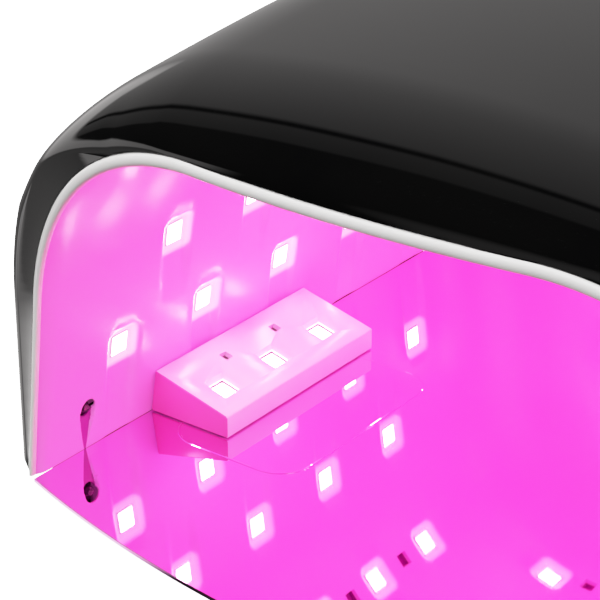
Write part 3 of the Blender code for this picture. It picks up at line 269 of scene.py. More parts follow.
# Worked out from the values above.
SIDES = (("left", -1), ("right", 1))
AXIS_X, AXIS_Y, AXIS_Z = Vector((1, 0, 0)), Vector((0, 1, 0)), Vector((0, 0, 1))
LAMP_MIDDLE, CAVITY_MIDDLE = Vector((0, 0, 0.05)), Vector((0, 0, 0.04))
MM = 0.001
PLAN, UPRIGHT = (AXIS_X, AXIS_Y, AXIS_Z), (AXIS_X, AXIS_Z, AXIS_Y)
BOW_RADIUS = (OPENING_HALF_WIDTH**2 + FRONT_BOW**2) / (2 * FRONT_BOW)
FRONT_Y = TRIM_PROUD - HALF_DEPTH
COS_LEAN, SIN_LEAN = math.cos(WALL_LEAN), math.sin(WALL_LEAN)
CENTRE_Z = MIRROR_Z + OPENING_HEIGHT - CORNER_RADIUS
OPENING_TOP = CENTRE_Z + CORNER_RADIUS
LEG_RISE = CENTRE_Z + CORNER_RADIUS * SIN_LEAN - HOOD_BOTTOM
CENTRE_X = OPENING_HALF_WIDTH - LEG_RISE * math.tan(WALL_LEAN) - CORNER_RADIUS * COS_LEAN
ARC_LENGTH = CORNER_RADIUS * (math.pi / 2 - WALL_LEAN)
LEG_LENGTH = LEG_RISE / COS_LEAN
SECTION_END = CENTRE_X + ARC_LENGTH + LEG_LENGTH
SENSOR_RUN = SECTION_END - (MIRROR_Z + SENSOR_HEIGHT - HOOD_BOTTOM) / COS_LEAN
SHOULDER_RUN = CENTRE_X + CORNER_RADIUS * (math.pi / 2 - SHOULDER_LED_TURN)
CEILING_RUN = CENTRE_X + CORNER_RADIUS * math.asin((CEILING_LED_X - CENTRE_X) / CORNER_RADIUS)


# Materials


def fill(tree, target, values, links):
    """Sets some inputs of a node and links others."""
    for name, value in dict(values).items():
        target.inputs[name].default_value = value
    for name, source in dict(links).items():
        tree.links.new(source, target.inputs[name])
    return target


def node(tree, kind, values=(), links=()):
    return fill(tree, tree.nodes.new("ShaderNode" + kind), values, links)


def new_material(name):
    material = bpy.data.materials.new(name + "_look")
    material.use_nodes = True
    tree = material.node_tree
    return material, tree, tree.nodes["Principled BSDF"]


def noise(tree, scale, detail=4, stretch=(1, 1, 1)):
    """A noise value at this many cells per metre, in the object's own coordinates."""
    where = node(tree, "TexCoord").outputs["Object"]
    mapping = node(tree, "Mapping", {"Scale": stretch}, {"Vector": where})
    grain = node(tree, "TexNoise", {"Scale": scale, "Detail": detail}, {"Vector": mapping.outputs["Vector"]})
    return grain.outputs["Fac"]


def ramp(tree, value, stops):
    """A colour for the value: stops are (position, colour)."""
    made = node(tree, "ValToRGB", links={"Fac": value})
    elements = made.color_ramp.elements
    for _ in stops[2:]:
        elements.new(0.5)
    for element, (position, colour) in zip(elements, stops):
        element.position = position
        element.color = (*colour, 1)
    return made.outputs["Color"]


def mapped(tree, value, low, high, to_low, to_high, kind="SMOOTHSTEP"):
    """The value, mapped from one range to another and held at its ends."""
    ends = {"From Min": low, "From Max": high, "To Min": to_low, "To Max": to_high}
    made = node(tree, "MapRange", ends, {"Value": value})
    made.interpolation_type = kind
    return made.outputs["Result"]


def combined(tree, operation, first, second):
    made = node(tree, "Math")
    made.operation = operation
    tree.links.new(first, made.inputs[0])
    tree.links.new(second, made.inputs[1])
    return made.outputs["Value"]


def surface(name, cloud, colours, rub, roughness, grain=None, relief=None, values=()):
    """A material whose colour, roughness and fine relief each follow a noise of their own. colours is
    two stops, roughness a range, and relief a strength and a distance."""
    material, tree, shader = new_material(name)
    links = {
        "Base Color": ramp(tree, noise(tree, *cloud), colours),
        "Roughness": mapped(tree, noise(tree, *rub), 0.3, 0.7, *roughness, "LINEAR"),
    }
    if grain:
        strength, distance = relief
        depths = {"Strength": strength, "Distance": distance}
        links["Normal"] = node(tree, "Bump", depths, {"Height": noise(tree, *grain)}).outputs["Normal"]
    fill(tree, shader, values, links)
    return material


def plastic(
    name, colour, other, roughness, grain=900, relief=0.00002, strength=0.15, metallic=0.0, stretch=(1, 1, 1)
):
    """A moulded or machined surface of two close colours."""
    colours = ((0.35, colour), (0.65, other))
    grain = (grain, 4, stretch)
    return surface(name, (60,), colours, (250,), roughness, grain, (strength, relief), {"Metallic": metallic})


def reflector_material(name, colour, other, glow):
    """Bright moulded reflector plastic with a faint pink glow, which is painted light: an emission that
    stands in for the light bouncing inside the lamp.
    """
    colours = ((0.3, colour), (0.7, other))
    values = {"Emission Color": (*PAINTED_GLOW_COLOUR, 1), "Emission Strength": glow}
    return surface(name, (25, 2), colours, (25, 2), (0.2745, 0.2755), (1100,), (0.005, 0.00001), values)


def liner_material():
    """The liner's plastic, with painted light and painted shade: it glows more round each light, as a painted
    halo for the LED's light on its pocket walls, and its dimples and sensor channel are painted dark with no
    glow, as painted shade.
    """
    material = reflector_material("pink_reflector", (0.950, 0.304, 0.874), (0.951, 0.306, 0.875), LINER_PAINTED_GLOW)
    tree = material.node_tree
    shader = tree.nodes["Principled BSDF"]
    recess, painted_halo = (node(tree, "Attribute") for _ in range(2))
    recess.attribute_name = "recess"
    painted_halo.attribute_name = "glow"
    # Painted shade: the dimples and the sensor channel take the dark colour and lose the glow.
    base = node(tree, "Mix")
    base.data_type = "RGBA"
    plain, shaded = [socket for socket in base.inputs if socket.type == "RGBA"]
    result = next(socket for socket in base.outputs if socket.type == "RGBA")
    shaded.default_value = RECESS_SHADE_COLOUR
    tree.links.new(shader.inputs["Base Color"].links[0].from_socket, plain)
    tree.links.new(mapped(tree, recess.outputs["Fac"], 0.45, 0.55, 0, 1), base.inputs["Factor"])
    strength = mapped(tree, painted_halo.outputs["Fac"], 0, 1, LINER_PAINTED_GLOW, LINER_PAINTED_GLOW + HALO_PAINTED_GLOW)
    unshaded = mapped(tree, recess.outputs["Fac"], 0.45, 0.55, 1, 0)
    links = {
        "Base Color": result,
        "Emission Color": ramp(tree, painted_halo.outputs["Fac"], ((0, PAINTED_GLOW_COLOUR), (1, HALO_PAINTED_COLOUR))),
        "Emission Strength": combined(tree, "MULTIPLY", strength, unshaded),
    }
    fill(tree, shader, {}, links)
    return material


def light_material(name, colour, strength):
    """A glowing surface, a little paler in its middle grain."""
    material, tree, shader = new_material(name)
    paler = [0.9 * part + 0.1 for part in colour]
    glow = ramp(tree, noise(tree, 900), ((0.3, colour), (0.7, paler)))
    values = {"Base Color": (0.9, 0.85, 0.6, 1), "Emission Strength": strength}
    fill(tree, shader, values, {"Emission Color": glow})
    return material


def board_material():
    """A green circuit board with lighter copper tracks under its mask."""
    material, tree, shader = new_material("green_board")
    colours = {"Color1": (0.010, 0.11, 0.045, 1), "Color2": (0.012, 0.13, 0.05, 1)}
    colours["Mortar"] = (0.03, 0.22, 0.09, 1)
    where = node(tree, "TexCoord").outputs["Object"]
    cells = node(tree, "TexBrick", {"Scale": 120, "Mortar Size": 0.06, **colours}, {"Vector": where})
    relief = node(tree, "Bump", {"Strength": 0.2, "Distance": 0.00003}, {"Height": cells.outputs["Fac"]})
    links = {
        "Base Color": cells.outputs["Color"],
        "Roughness": mapped(tree, noise(tree, 400), 0.3, 0.7, 0.28, 0.4, "LINEAR"),
        "Normal": relief.outputs["Normal"],
    }
    fill(tree, shader, {}, links)
    return material


DRAWN = (1, 1, 0.1)
MATERIALS = {
    # Piano-gloss plastic, with a faint ripple and a few hairline marks.
    "gloss_black": surface(
        "gloss_black", (30,), ((0.4, (0.0008, 0.0008, 0.0009)), (0.6, (0.0012, 0.0012, 0.0012))),
        (700, 6), (0.035, 0.06), (45, 1), (0.05, 0.0001),
    ),
    # Polished, with very fine rubbed hairlines. Its pink tint is painted light, the LEDs' pink glow put into
    # the steel's own colour.
    "mirror": surface(
        "mirror_floor", (18, 2), ((0.4, (0.90, 0.48, 0.86)), (0.6, (0.91, 0.50, 0.87))),
        (300, 6, (1, 0.05, 1)), (0.015, 0.035), (40, 1), (0.02, 0.0001), {"Metallic": 1.0},
    ),
    "smoked": surface(
        "smoked_window", (40,), ((0.4, (0.22, 0.17, 0.18)), (0.6, (0.25, 0.19, 0.20))),
        (500,), (0.02, 0.05), values={"Transmission Weight": 1.0, "IOR": 1.45},
    ),
    "reflector": liner_material(),
    # Painted light and shade: the block glows faintly, and its end faces take a darker, deeper pink copy of
    # its material, as painted shade where less light falls.
    "block": reflector_material("pink_block", (0.950, 0.58, 0.92), (0.955, 0.60, 0.93), 0.05),
    "shaded_block_end": reflector_material("pink_block_shaded_end", (0.93, 0.08, 0.50), (0.94, 0.10, 0.52), 0.0),
    "green_board": board_material(),
    "emitter": light_material("emitter", (1.0, 0.25, 0.45), 110.0),
    "digit": light_material("digit", (1.0, 0.15, 0.12), 3.0),
    "trim": plastic("off_white_trim", (0.85, 0.84, 0.83), (0.88, 0.87, 0.86), (0.28, 0.36), strength=0.03),
    "black": plastic(
        "black_plastic", (0.012, 0.012, 0.013), (0.02, 0.02, 0.02), (0.42, 0.56), 1500, 0.00005, 0.4
    ),
    "rubber": plastic(
        "black_rubber", (0.018, 0.018, 0.018), (0.03, 0.03, 0.03), (0.7, 0.85), 2200, 0.0001, 0.5
    ),
    "button": plastic(
        "button_grey", (0.17, 0.17, 0.175), (0.20, 0.20, 0.205), (0.3, 0.4), 1800, 0.00003, 0.3
    ),
    "label": plastic("label_white", (0.80, 0.80, 0.80), (0.88, 0.88, 0.88), (0.4, 0.5)),
    "dark": plastic(
        "dark_plastic", (0.018, 0.018, 0.02), (0.03, 0.03, 0.033), (0.35, 0.5), 1800, 0.00003, 0.3
    ),
    "white_board": plastic("white_board", (0.72, 0.72, 0.70), (0.80, 0.80, 0.78), (0.35, 0.45)),
    "steel": plastic(
        "plain_steel", (0.50, 0.50, 0.51), (0.60, 0.60, 0.61), (0.2, 0.35), 1400, 0.00003, 0.3, 1.0, DRAWN
    ),
    "nickel": plastic(
        "nickel_magnet", (0.60, 0.58, 0.55), (0.68, 0.66, 0.62), (0.12, 0.25), 900, 0.00002, 0.2, 1.0
    ),
    "brass": plastic(
        "brass_spacer", (0.60, 0.42, 0.16), (0.70, 0.50, 0.20), (0.2, 0.32), 1400, 0.00003, 0.3, 1.0, DRAWN
    ),
    "wire": plastic("red_wire", (0.36, 0.02, 0.02), (0.44, 0.03, 0.03), (0.35, 0.5)),
    "chip": plastic("chip_body", (0.88, 0.86, 0.80), (0.92, 0.90, 0.86), (0.3, 0.4)),
    "sensor": plastic("sensor", (0.02, 0.008, 0.025), (0.03, 0.01, 0.035), (0.1, 0.2)),
}


# Mesh helpers


def smooth(mesh, sharp=35):
    """Shades the mesh smooth, apart from the edges that turn more than the angle."""
    mesh.shade_smooth()
    mesh.set_sharp_from_angle(angle=math.radians(sharp))


def shown(name, data):
    """A new object in the scene."""
    thing = bpy.data.objects.new(name, data)
    bpy.context.scene.collection.objects.link(thing)
    return thing


def piece(name, points, faces, material, sharp=35):
    """A mesh object of these points and faces, its normals consistent and its soft edges smooth."""
    mesh = bpy.data.meshes.new(name)
    mesh.from_pydata([tuple(point) for point in points], [], faces)
    shape = bmesh.new()
    shape.from_mesh(mesh)
    bmesh.ops.remove_doubles(shape, verts=shape.verts, dist=1e-7)
    bmesh.ops.recalc_face_normals(shape, faces=shape.faces)
    shape.to_mesh(mesh)
    shape.free()
    mesh.materials.append(material)
    smooth(mesh, sharp)
    return shown(name, mesh)


def modified(thing, kind, **settings):
    """Applies one modifier to the object."""
    modifier = thing.modifiers.new(kind, kind)
    for name, value in settings.items():
        setattr(modifier, name, value)
    bpy.context.view_layer.update()
    mesh = bpy.data.meshes.new_from_object(thing.evaluated_get(bpy.context.evaluated_depsgraph_get()))
    thing.modifiers.clear()
    thing.data = mesh
    smooth(mesh)
    return thing


def combine(thing, other, operation):
    """Cuts the other object from this one, or keeps what they share, and then removes the other."""
    modified(thing, "BOOLEAN", operation=operation, object=other, solver="EXACT")
    bpy.data.objects.remove(other)
    return thing


def cut(thing, cutters):
    return combine(thing, join("cutters", cutters), "DIFFERENCE")


def rounded(thing, width, segments=2):
    """Rounds the object's sharp edges."""
    limit = math.radians(40)
    return modified(thing, "BEVEL", width=width, segments=segments, limit_method="ANGLE", angle_limit=limit)


def join(name, things):
    """One object of several, which keeps each one's materials."""
    shape = bmesh.new()
    materials = []
    for thing in things:
        start = len(shape.faces)
        mesh = thing.data
        mesh.transform(thing.matrix_world)
        shape.from_mesh(mesh)
        shape.faces.ensure_lookup_table()
        for face in shape.faces[start:]:
            material = mesh.materials[face.material_index]
            if material not in materials:
                materials.append(material)
            face.material_index = materials.index(material)
        bpy.data.objects.remove(thing)
    mesh = bpy.data.meshes.new(name)
    shape.to_mesh(mesh)
    shape.free()
    for material in materials:
        mesh.materials.append(material)
    smooth(mesh)
    return shown(name, mesh)


def stands_for(thing, body, slot, *nodes):
    """Makes a piece ride on a body and stand for its nodes, which it hides. slot is not used."""
    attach(thing, body)
    if nodes:
        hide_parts(*nodes)


def stitch(faces, first, second):
    """Joins two closed loops of point numbers with quads."""
    for step in range(len(first)):
        following = (step + 1) % len(first)
        faces.append([first[step], first[following], second[following], second[step]])


def loft(name, loops, material, closed_ends=True, sharp=35):
    """A skin through closed loops of equal length."""
    count = len(loops[0])
    rings = [list(range(ring * count, (ring + 1) * count)) for ring in range(len(loops))]
    faces = []
    for first, second in zip(rings, rings[1:]):
        stitch(faces, first, second)
    if closed_ends:
        faces += [rings[0], rings[-1]]
    return piece(name, [point for loop in loops for point in loop], faces, material, sharp)


def stack(name, levels, material, origin=Vector(), axes=PLAN, sharp=35):
    """A skin through flat outlines: levels is a list of (outline, distance along the third axis)."""
    across, up, out = axes
    loops = [[origin + across * a + up * b + out * level for a, b in outline] for outline, level in levels]
    return loft(name, loops, material, sharp=sharp)


def turned(name, base, profile, material, segments=48):
    """An upright turned solid: its profile is a list of (radius, height)."""
    turns = [2 * math.pi * step / segments for step in range(segments)]
    circle = [(math.cos(turn), math.sin(turn)) for turn in turns]
    levels = [([(radius * a, radius * b) for a, b in circle], z) for radius, z in profile]
    return stack(name, levels, material, Vector(base))


def slab(name, centre, size, axes, material):
    """A box whose edges run along three axes."""
    a, b, half = size[0] / 2, size[1] / 2, size[2] / 2
    outline = [(-a, -b), (a, -b), (a, b), (-a, b)]
    return stack(name, [(outline, -half), (outline, half)], material, centre, axes)


def rounded_rectangle(width, depth, radius, centre=(0, 0), steps=8):
    """The outline of a rectangle with round corners, anticlockwise."""
    outline = []
    for quarter in range(4):
        sign_x = 1 if quarter in (0, 3) else -1
        sign_y = 1 if quarter in (0, 1) else -1
        for step in range(steps + 1):
            turn = math.pi / 2 * (quarter + step / steps)
            x = sign_x * (width / 2 - radius) + radius * math.cos(turn)
            y = sign_y * (depth / 2 - radius) + radius * math.sin(turn)
            outline.append((centre[0] + x, centre[1] + y))
    return outline


def square(half, radius, centre=(0, 0), steps=3):
    return rounded_rectangle(2 * half, 2 * half, radius, centre, steps)


def prism(name, outline, low, high, material):
    """An outline in plan, extruded from low to high."""
    return stack(name, [(outline, low), (outline, high)], material)


# The lamp's form


def front_y(x):
    """The y of the bowed front at this x."""
    return FRONT_Y + (BOW_RADIUS - math.sqrt(BOW_RADIUS**2 - x * x))


def section_point(s, outward=0.0):
    """A point (x, z) of the opening's outline, s metres from the middle of its top along it, moved
    outward. The legs stay on the hood's lower edge."""
    sign = -1 if s < 0 else 1
    run = abs(s)
    radius = CORNER_RADIUS + outward
    if run <= CENTRE_X:
        return s, CENTRE_Z + radius
    run -= CENTRE_X
    if run <= ARC_LENGTH:
        turn = math.pi / 2 - run / CORNER_RADIUS
        return sign * (CENTRE_X + radius * math.cos(turn)), CENTRE_Z + radius * math.sin(turn)
    share = (run - ARC_LENGTH) / LEG_LENGTH
    top_x, top_z = CENTRE_X + radius * COS_LEAN, CENTRE_Z + radius * SIN_LEAN
    foot_x = OPENING_HALF_WIDTH + outward / COS_LEAN
    return sign * (top_x + (foot_x - top_x) * share), top_z + (HOOD_BOTTOM - top_z) * share


def section_runs(leg, arc, top):
    """Places along the opening's outline, from the left foot to the right, in this many steps."""
    half = [SECTION_END - LEG_LENGTH * step / leg for step in range(leg)]
    half += [CENTRE_X + ARC_LENGTH * (1 - step / arc) for step in range(arc)]
    flat = [CENTRE_X * (1 - 2 * step / top) for step in range(top + 1)]
    return [-run for run in half + flat] + list(reversed(half))


def risen(run):
    """How high this place of the opening's outline is: 0 at the hood's lower edge, 1 at the top."""
    return (section_point(run)[1] - HOOD_BOTTOM) / (OPENING_TOP - HOOD_BOTTOM)


def trim_width(run, more):
    """The rim strip's width at this place and a little more."""
    return TRIM_WIDTH_FOOT + more + (TRIM_WIDTH_TOP - TRIM_WIDTH_FOOT) * risen(run)


def rim_inner(run):
    """How far the rim strip's inner edge stands outside the opening's outline: more towards its feet."""
    return RIM_INNER_FOOT * (1 - risen(run))


def shell_profile(half_width, height, shoulder, crown_angle, chamfer):
    """The shell's cross-section at one station: (x, z, outward x, outward z) from foot to foot."""
    top_z = MIRROR_Z + height
    crown_start = half_width - shoulder + shoulder * math.sin(crown_angle)
    crown_radius = crown_start / math.sin(crown_angle)
    leg_top = top_z - crown_radius * (1 - math.cos(crown_angle)) - shoulder * math.cos(crown_angle)
    left = [(-half_width + chamfer, HOOD_BOTTOM, -1, 0)]
    low = HOOD_BOTTOM + FOOT_CHAMFER
    for step in range(LEG_STEPS):
        left.append((-half_width, low + (leg_top - low) * step / LEG_STEPS, -1, 0))
    for step in range(SHOULDER_STEPS + 1):
        turn = (math.pi / 2 - crown_angle) * step / SHOULDER_STEPS
        nx, nz = -math.cos(turn), math.sin(turn)
        left.append((-half_width + shoulder + shoulder * nx, leg_top + shoulder * nz, nx, nz))
    middle = []
    for step in range(1, CROWN_STEPS):
        turn = crown_angle * (1 - 2 * step / CROWN_STEPS)
        nx, nz = -math.sin(turn), math.cos(turn)
        middle.append((crown_radius * nx, top_z - crown_radius * (1 - nz), nx, nz))
    return left + middle + [(-x, z, -nx, nz) for x, z, nx, nz in reversed(left)]


def shell_section(y, inward):
    """The shell's cross-section at this station: low round shoulders in front, fuller at the crest."""
    share = min(max((CREST_Y - y) / (CREST_Y - FRONT_Y), 0), 1) ** 1.5

    def blend(at_crest, at_front):
        return at_crest + (at_front - at_crest) * share

    return shell_profile(
        HALF_WIDTH - inward,
        blend(SHELL_HEIGHT_TOP, SHELL_HEIGHT_FRONT) - inward,
        blend(SHOULDER_RADIUS_CREST, SHOULDER_RADIUS_FRONT) - inward,
        blend(CROWN_ANGLE_CREST, CROWN_ANGLE_FRONT),
        0 if inward else FOOT_CHAMFER,
    )


def shell_back(loss, wall, inward):
    """The shell's cross-section where its back has turned in by this share of the corner."""
    return shell_profile(
        HALF_WIDTH - BACK_CORNER_RADIUS * loss - wall,
        SHELL_HEIGHT_TOP - BACK_TOP_DROP * loss - wall,
        SHOULDER_RADIUS_CREST - BACK_SHOULDER_LOSS * loss - wall,
        CROWN_ANGLE_CREST,
        0 if inward else FOOT_CHAMFER,
    )


def fascia(share):
    """How far the shell draws in round the opening, and how deep, at a share of its height."""
    rise = max(share - FASCIA_INSET_START, 0) / (1 - FASCIA_INSET_START)
    inset = FASCIA_INSET_FOOT + (FASCIA_INSET_SIDE - FASCIA_INSET_FOOT) * share
    inset += (FASCIA_INSET_TOP - FASCIA_INSET_SIDE) * rise * rise * (3 - 2 * rise)
    extra = FASCIA_EXTRA_DEPTH * max(share - FASCIA_DEPTH_START, 0) / (1 - FASCIA_DEPTH_START)
    return inset, inset + extra


def shell_skin(inward):
    """The rows of the shell's outer skin, or of its inner skin when inward is the wall."""
    profile = shell_section(FRONT_Y, inward)
    low = profile[0][1]
    high = max(z for x, z, nx, nz in profile)
    runs = section_runs(LEG_STEPS + 1, SHOULDER_STEPS, CROWN_STEPS)
    lip = [section_point(run, trim_width(run, GAP)) for run in runs]
    sizes = []
    for (x, z, nx, nz), (lip_x, lip_z) in zip(profile, lip):
        inset, depth = fascia((z - low) / (high - low))
        room = (x - lip_x) * nx + (z - lip_z) * nz + inward - GAP
        sizes.append((min(inset, room), depth))
    rows = [[(x, front_y(x) + inward, z) for x, z in lip]]
    for step in range(FRONT_BEVEL_STEPS + 1):
        turn = math.pi / 2 * step / FRONT_BEVEL_STEPS
        row = []
        for index, (inset, depth) in enumerate(sizes):
            y = front_y(profile[index][0]) + inward + (depth - inward) * (1 - math.cos(turn))
            x, z, nx, nz = shell_section(y, inward)[index]
            loss = (inset - inward) * (1 - math.sin(turn))
            row.append((x - nx * loss, y, max(z - nz * loss, HOOD_BOTTOM)))
        rows.append(row)
    corner_start = HALF_DEPTH - BACK_CORNER_RADIUS
    front_row = rows[-1]
    for step in range(1, BODY_STEPS + 1):
        share = step / BODY_STEPS
        row = []
        for index, (x, y, z) in enumerate(front_row):
            y += (corner_start - y) * share
            x, z, nx, nz = shell_section(y, inward)[index]
            row.append((x, y, z))
        rows.append(row)
    for step in range(1, BACK_STEPS + 1):
        turn = math.pi / 2 * step / BACK_STEPS
        y = corner_start + (BACK_CORNER_RADIUS - inward) * math.sin(turn)
        shape = shell_back(1 - math.cos(turn), inward * math.cos(turn), inward)
        rows.append([(x, y, z) for x, z, nx, nz in shape])
    return rows


def walled(name, outer_rows, inner_rows, material):
    """A wall between two skins of equal rows, closed along its front, its feet and its flat back."""
    width = len(outer_rows[0])
    rows = len(outer_rows)
    points = [point for row in outer_rows + inner_rows for point in row]
    inner = rows * width
    last = inner - width
    faces = []
    for row in range(rows - 1):
        for column in range(width - 1):
            a = row * width + column
            quad = [a, a + 1, a + width + 1, a + width]
            faces += [quad, [inner + index for index in reversed(quad)]]
        for column in (0, width - 1):
            a = row * width + column
            faces.append([a, a + width, inner + a + width, inner + a])
    for column in range(width - 1):
        faces.append([column + 1, column, inner + column, inner + column + 1])
    faces.append([last + column for column in range(width)])
    faces.append([inner + last + column for column in reversed(range(width))])
    faces.append([last, last + width - 1, inner + last + width - 1, inner + last])
    return piece(name, points, faces, material)


# Hood


def hood_shell():
    black = MATERIALS["gloss_black"]
    shell = walled("hood_shell", shell_skin(0), shell_skin(SHELL_WALL), black)
    opening = rounded_rectangle(PANEL_WIDTH, PANEL_DEPTH, PANEL_CORNER, (0, PANEL_CENTRE_Y))
    cutters = [prism("cut", opening, BELOW_PANEL, ABOVE_PANEL, black)]
    inside_y, outside_y = HALF_DEPTH - 2 * SHELL_WALL, HALF_DEPTH + 2 * SHELL_WALL
    slot = rounded_rectangle(VENT_LENGTH, VENT_HEIGHT, VENT_HEIGHT / 2 - 1e-5, steps=6)
    for side, sign in SIDES:
        for step in range(VENT_COUNT):
            start = Vector((sign * VENT_CENTRE_X, inside_y, VENT_FIRST_Z + VENT_PITCH * step))
            cutters.append(stack("cut", [(slot, 0), (slot, 4 * SHELL_WALL)], black, start, UPRIGHT))
    low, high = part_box("power_inlet")
    size = (high.x - low.x + 2 * GAP, high.z - low.z + 2 * GAP)
    mouth = rounded_rectangle(*size, INLET_CORNER, ((low + high) / 2).xz, 6)
    cutters.append(stack("cut", [(mouth, inside_y), (mouth, outside_y)], black, axes=UPRIGHT))
    stands_for(cut(shell, cutters), "hood", "gloss_black", "outer_shell")


def rim_strip():
    """The off-white bead round the opening, with a rounded face."""
    loops = []
    for run in section_runs(30, 60, 30):
        inner, outer = rim_inner(run), trim_width(run, TRIM_OVERLAP)
        places = [(inner, LINER_FRONT_START - GAP), (outer, TRIM_DEPTH)]
        for step in range(RIM_FACE_STEPS + 1):
            turn = math.pi * step / RIM_FACE_STEPS
            outward = (inner + outer) / 2 + (outer - inner) / 2 * math.cos(turn)
            places.append((outward, RIM_FACE_DEPTH - RIM_FACE_RISE * math.sin(turn) ** 0.8))
        loop = []
        for outward, depth in places:
            x, z = section_point(run, outward)
            loop.append((x, front_y(x) + depth, z))
        loops.append(loop)
    stands_for(loft("rim_strip", loops, MATERIALS["trim"]), "hood", "off_white_trim", "rim_trim")


# Lights of the walls, shoulders, ceiling and back


def section_lights():
    """The lights along the opening's outline by board: (place along it, y, which way the groove runs,
    how far the groove reaches)."""
    rows = (0, -CEILING_RUN, CEILING_RUN)
    lights = {"ceiling": [(run, y, 0, 0) for run in rows for y in CEILING_LED_YS]}
    for side, sign in SIDES:
        lights[side + "_wall"] = [
            (sign * wall_run(height), first_y + pitch * step, sign, reach)
            for height, first_y, pitch, count, reach in WALL_LED_ROWS
            for step in range(count)
        ]
        lights[side + "_shoulder"] = [(sign * SHOULDER_RUN, y, 0, 0) for y in SHOULDER_LED_YS]
    return lights


def wall_run(height):
    """How far along the outline a wall is this high above the mirror."""
    return SECTION_END - (MIRROR_Z + height - HOOD_BOTTOM) / COS_LEAN


def light_site(run, y, board):
    """A light's seat on the liner's inner face: (point, outward direction, up)."""
    sign = math.copysign(1, run)
    turn = max(math.pi / 2 - max(abs(run) - CENTRE_X, 0) / CORNER_RADIUS, WALL_LEAN)
    x, z = section_point(run)
    out = Vector((sign * math.cos(turn), 0, math.sin(turn)))
    up = AXIS_Y if board == "ceiling" else Vector((-sign * math.sin(turn), 0, math.cos(turn)))
    return Vector((x, y, z)), out, up


SECTION_LIGHTS = section_lights()
POCKETS = [light for group in SECTION_LIGHTS.values() for light in group]
BACK_LIGHTS = [(x, MIRROR_Z + height) for height, places in BACK_LED_ROWS for x in places]


def light_chip(site, offset, thickness, size):
    """A light chip: a white frame with an emitter that fills most of it."""
    point, out, up = site
    front, axes = point + out * offset, (up.cross(out), up, out)
    half = size / 2
    body = ((0.1, thickness), (0, thickness - 0.0001), (0, 0.0001), (0.1, 0), (0.3, 0), (0.3, 0.0002))
    lens = ((0.31, 0.3, 0.21), (0.31, 0.3, 0.12), (0.6, 0.4, 0.04), (1.2, 0.6, 0.01), (2.0, 0.2, 0))
    levels = [(square(half - inset * MM, 0.3 * MM), depth) for inset, depth in body]
    things = [stack("chip", levels, MATERIALS["chip"], front, axes)]
    levels = [(square(half - inset * MM, corner * MM), depth * MM) for inset, corner, depth in lens]
    return things + [stack("lens", levels, MATERIALS["emitter"], front, axes)]


def led_board(name, sites):
    """A white light board with its chips, each as thick as its seat leaves room for."""
    point, out, up = sites[0]
    low, high = (Vector(corner) for corner in BOARD_EDGES[name])
    axes = (up.cross(out), up, out)
    middle = (low + high) / 2
    centre = point + axes[0] * middle.x + up * middle.y + out * (BOARD_OFFSET + BOARD_THICKNESS / 2)
    plate = slab("plate", centre, (*(high - low), BOARD_THICKNESS), axes, MATERIALS["white_board"])
    things = [rounded(plate, 0.0002)]
    for site in sites:
        thickness = BOARD_OFFSET - VISIBLE_CHIP_OFFSET + max((point - site[0]).dot(out), 0)
        things += light_chip(site, VISIBLE_CHIP_OFFSET, thickness, 2 * WINDOW_HALF - 0.0002)
    stands_for(join(name + "_lights", things), "hood", "white_board", name + "_led_board")


def light_boards():
    """Every board behind the liner, with its chips."""
    groups = {"back_wall": [(Vector((x, LINER_BACK_Y, z)), AXIS_Y, AXIS_Z) for x, z in BACK_LIGHTS]}
    for board, lights in SECTION_LIGHTS.items():
        groups[board] = [light_site(run, y, board) for run, y, floorward, reach in lights]
    for board in BOARD_EDGES:
        led_board(board, groups[board])


# Reflector


def around(centres, offsets):
    return [centre + sign * offset for centre in centres for offset in offsets for sign in (-1, 1)]


def grid_lines(low, high, centres):
    """Increasing grid places: both ends, the edges of the pockets at these centres, and more where they
    lie far apart."""
    wanted = [low, high] + around({round(centre, 6) for centre in centres}, POCKET_OFFSETS)
    wanted = sorted(place for place in wanted if low <= place <= high)
    lines = [wanted[0]]
    for place in wanted[1:]:
        start = lines[-1]
        if place - start >= GRID_NEAREST:
            parts = math.ceil((place - start) / GRID_STEP)
            lines += [start + (place - start) * step / parts for step in range(1, parts + 1)]
    return lines


def thinned(places, kept):
    """The places in order, without those that lie very near another, except the kept ones."""
    result = []
    for place in sorted(places):
        if result and place - result[-1] < GRID_APART:
            if any(abs(place - other) < 1e-9 for other in kept):
                result[-1] = place
        else:
            result.append(place)
    return result


def ease(share):
    share = np.clip(share, 0, 1)
    return share * share * (3 - 2 * share)


def dimple_list():
    """Small square dimples: one beside each shoulder light and each outer ceiling light."""
    dimples = []
    for run, y, floorward, reach in POCKETS:
        if run and not floorward:
            sign = math.copysign(1, run)
            if abs(run) == SHOULDER_RUN:
                dimples.append((run, y + SHOULDER_DIMPLE_Y))
            else:
                dimples.append((run - sign * CEILING_DIMPLE[0], y + CEILING_DIMPLE[1]))
    return dimples


DIMPLES = dimple_list()


def pocket_depth(run, y, pocket):
    """How far outward one pocket and its groove move the liner, at places along it."""
    centre, centre_y, floorward, reach = pocket
    along = (run - centre) * (floorward or 1)
    fade = 1
    if floorward:
        fade = np.clip(1 - np.maximum(along, 0) / reach, 0, 1)
        along = np.where(along > 0, 0, -along)
    inner = WINDOW_HALF + 0.0001 - POCKET_CORNER
    beside = np.maximum(np.abs(y - centre_y) - inner, 0)
    beyond = np.hypot(beside, np.maximum(np.abs(along) - inner, 0)) - POCKET_CORNER
    return POCKET_DEPTH * fade * ease(1 - beyond / POCKET_FLARE)


def sensor_share(run):
    """How far each place is from the sensor's hole towards the floor, from 0 to 1."""
    return np.clip((np.abs(run) - SENSOR_RUN) / (SECTION_END - SENSOR_RUN), 0, 1)


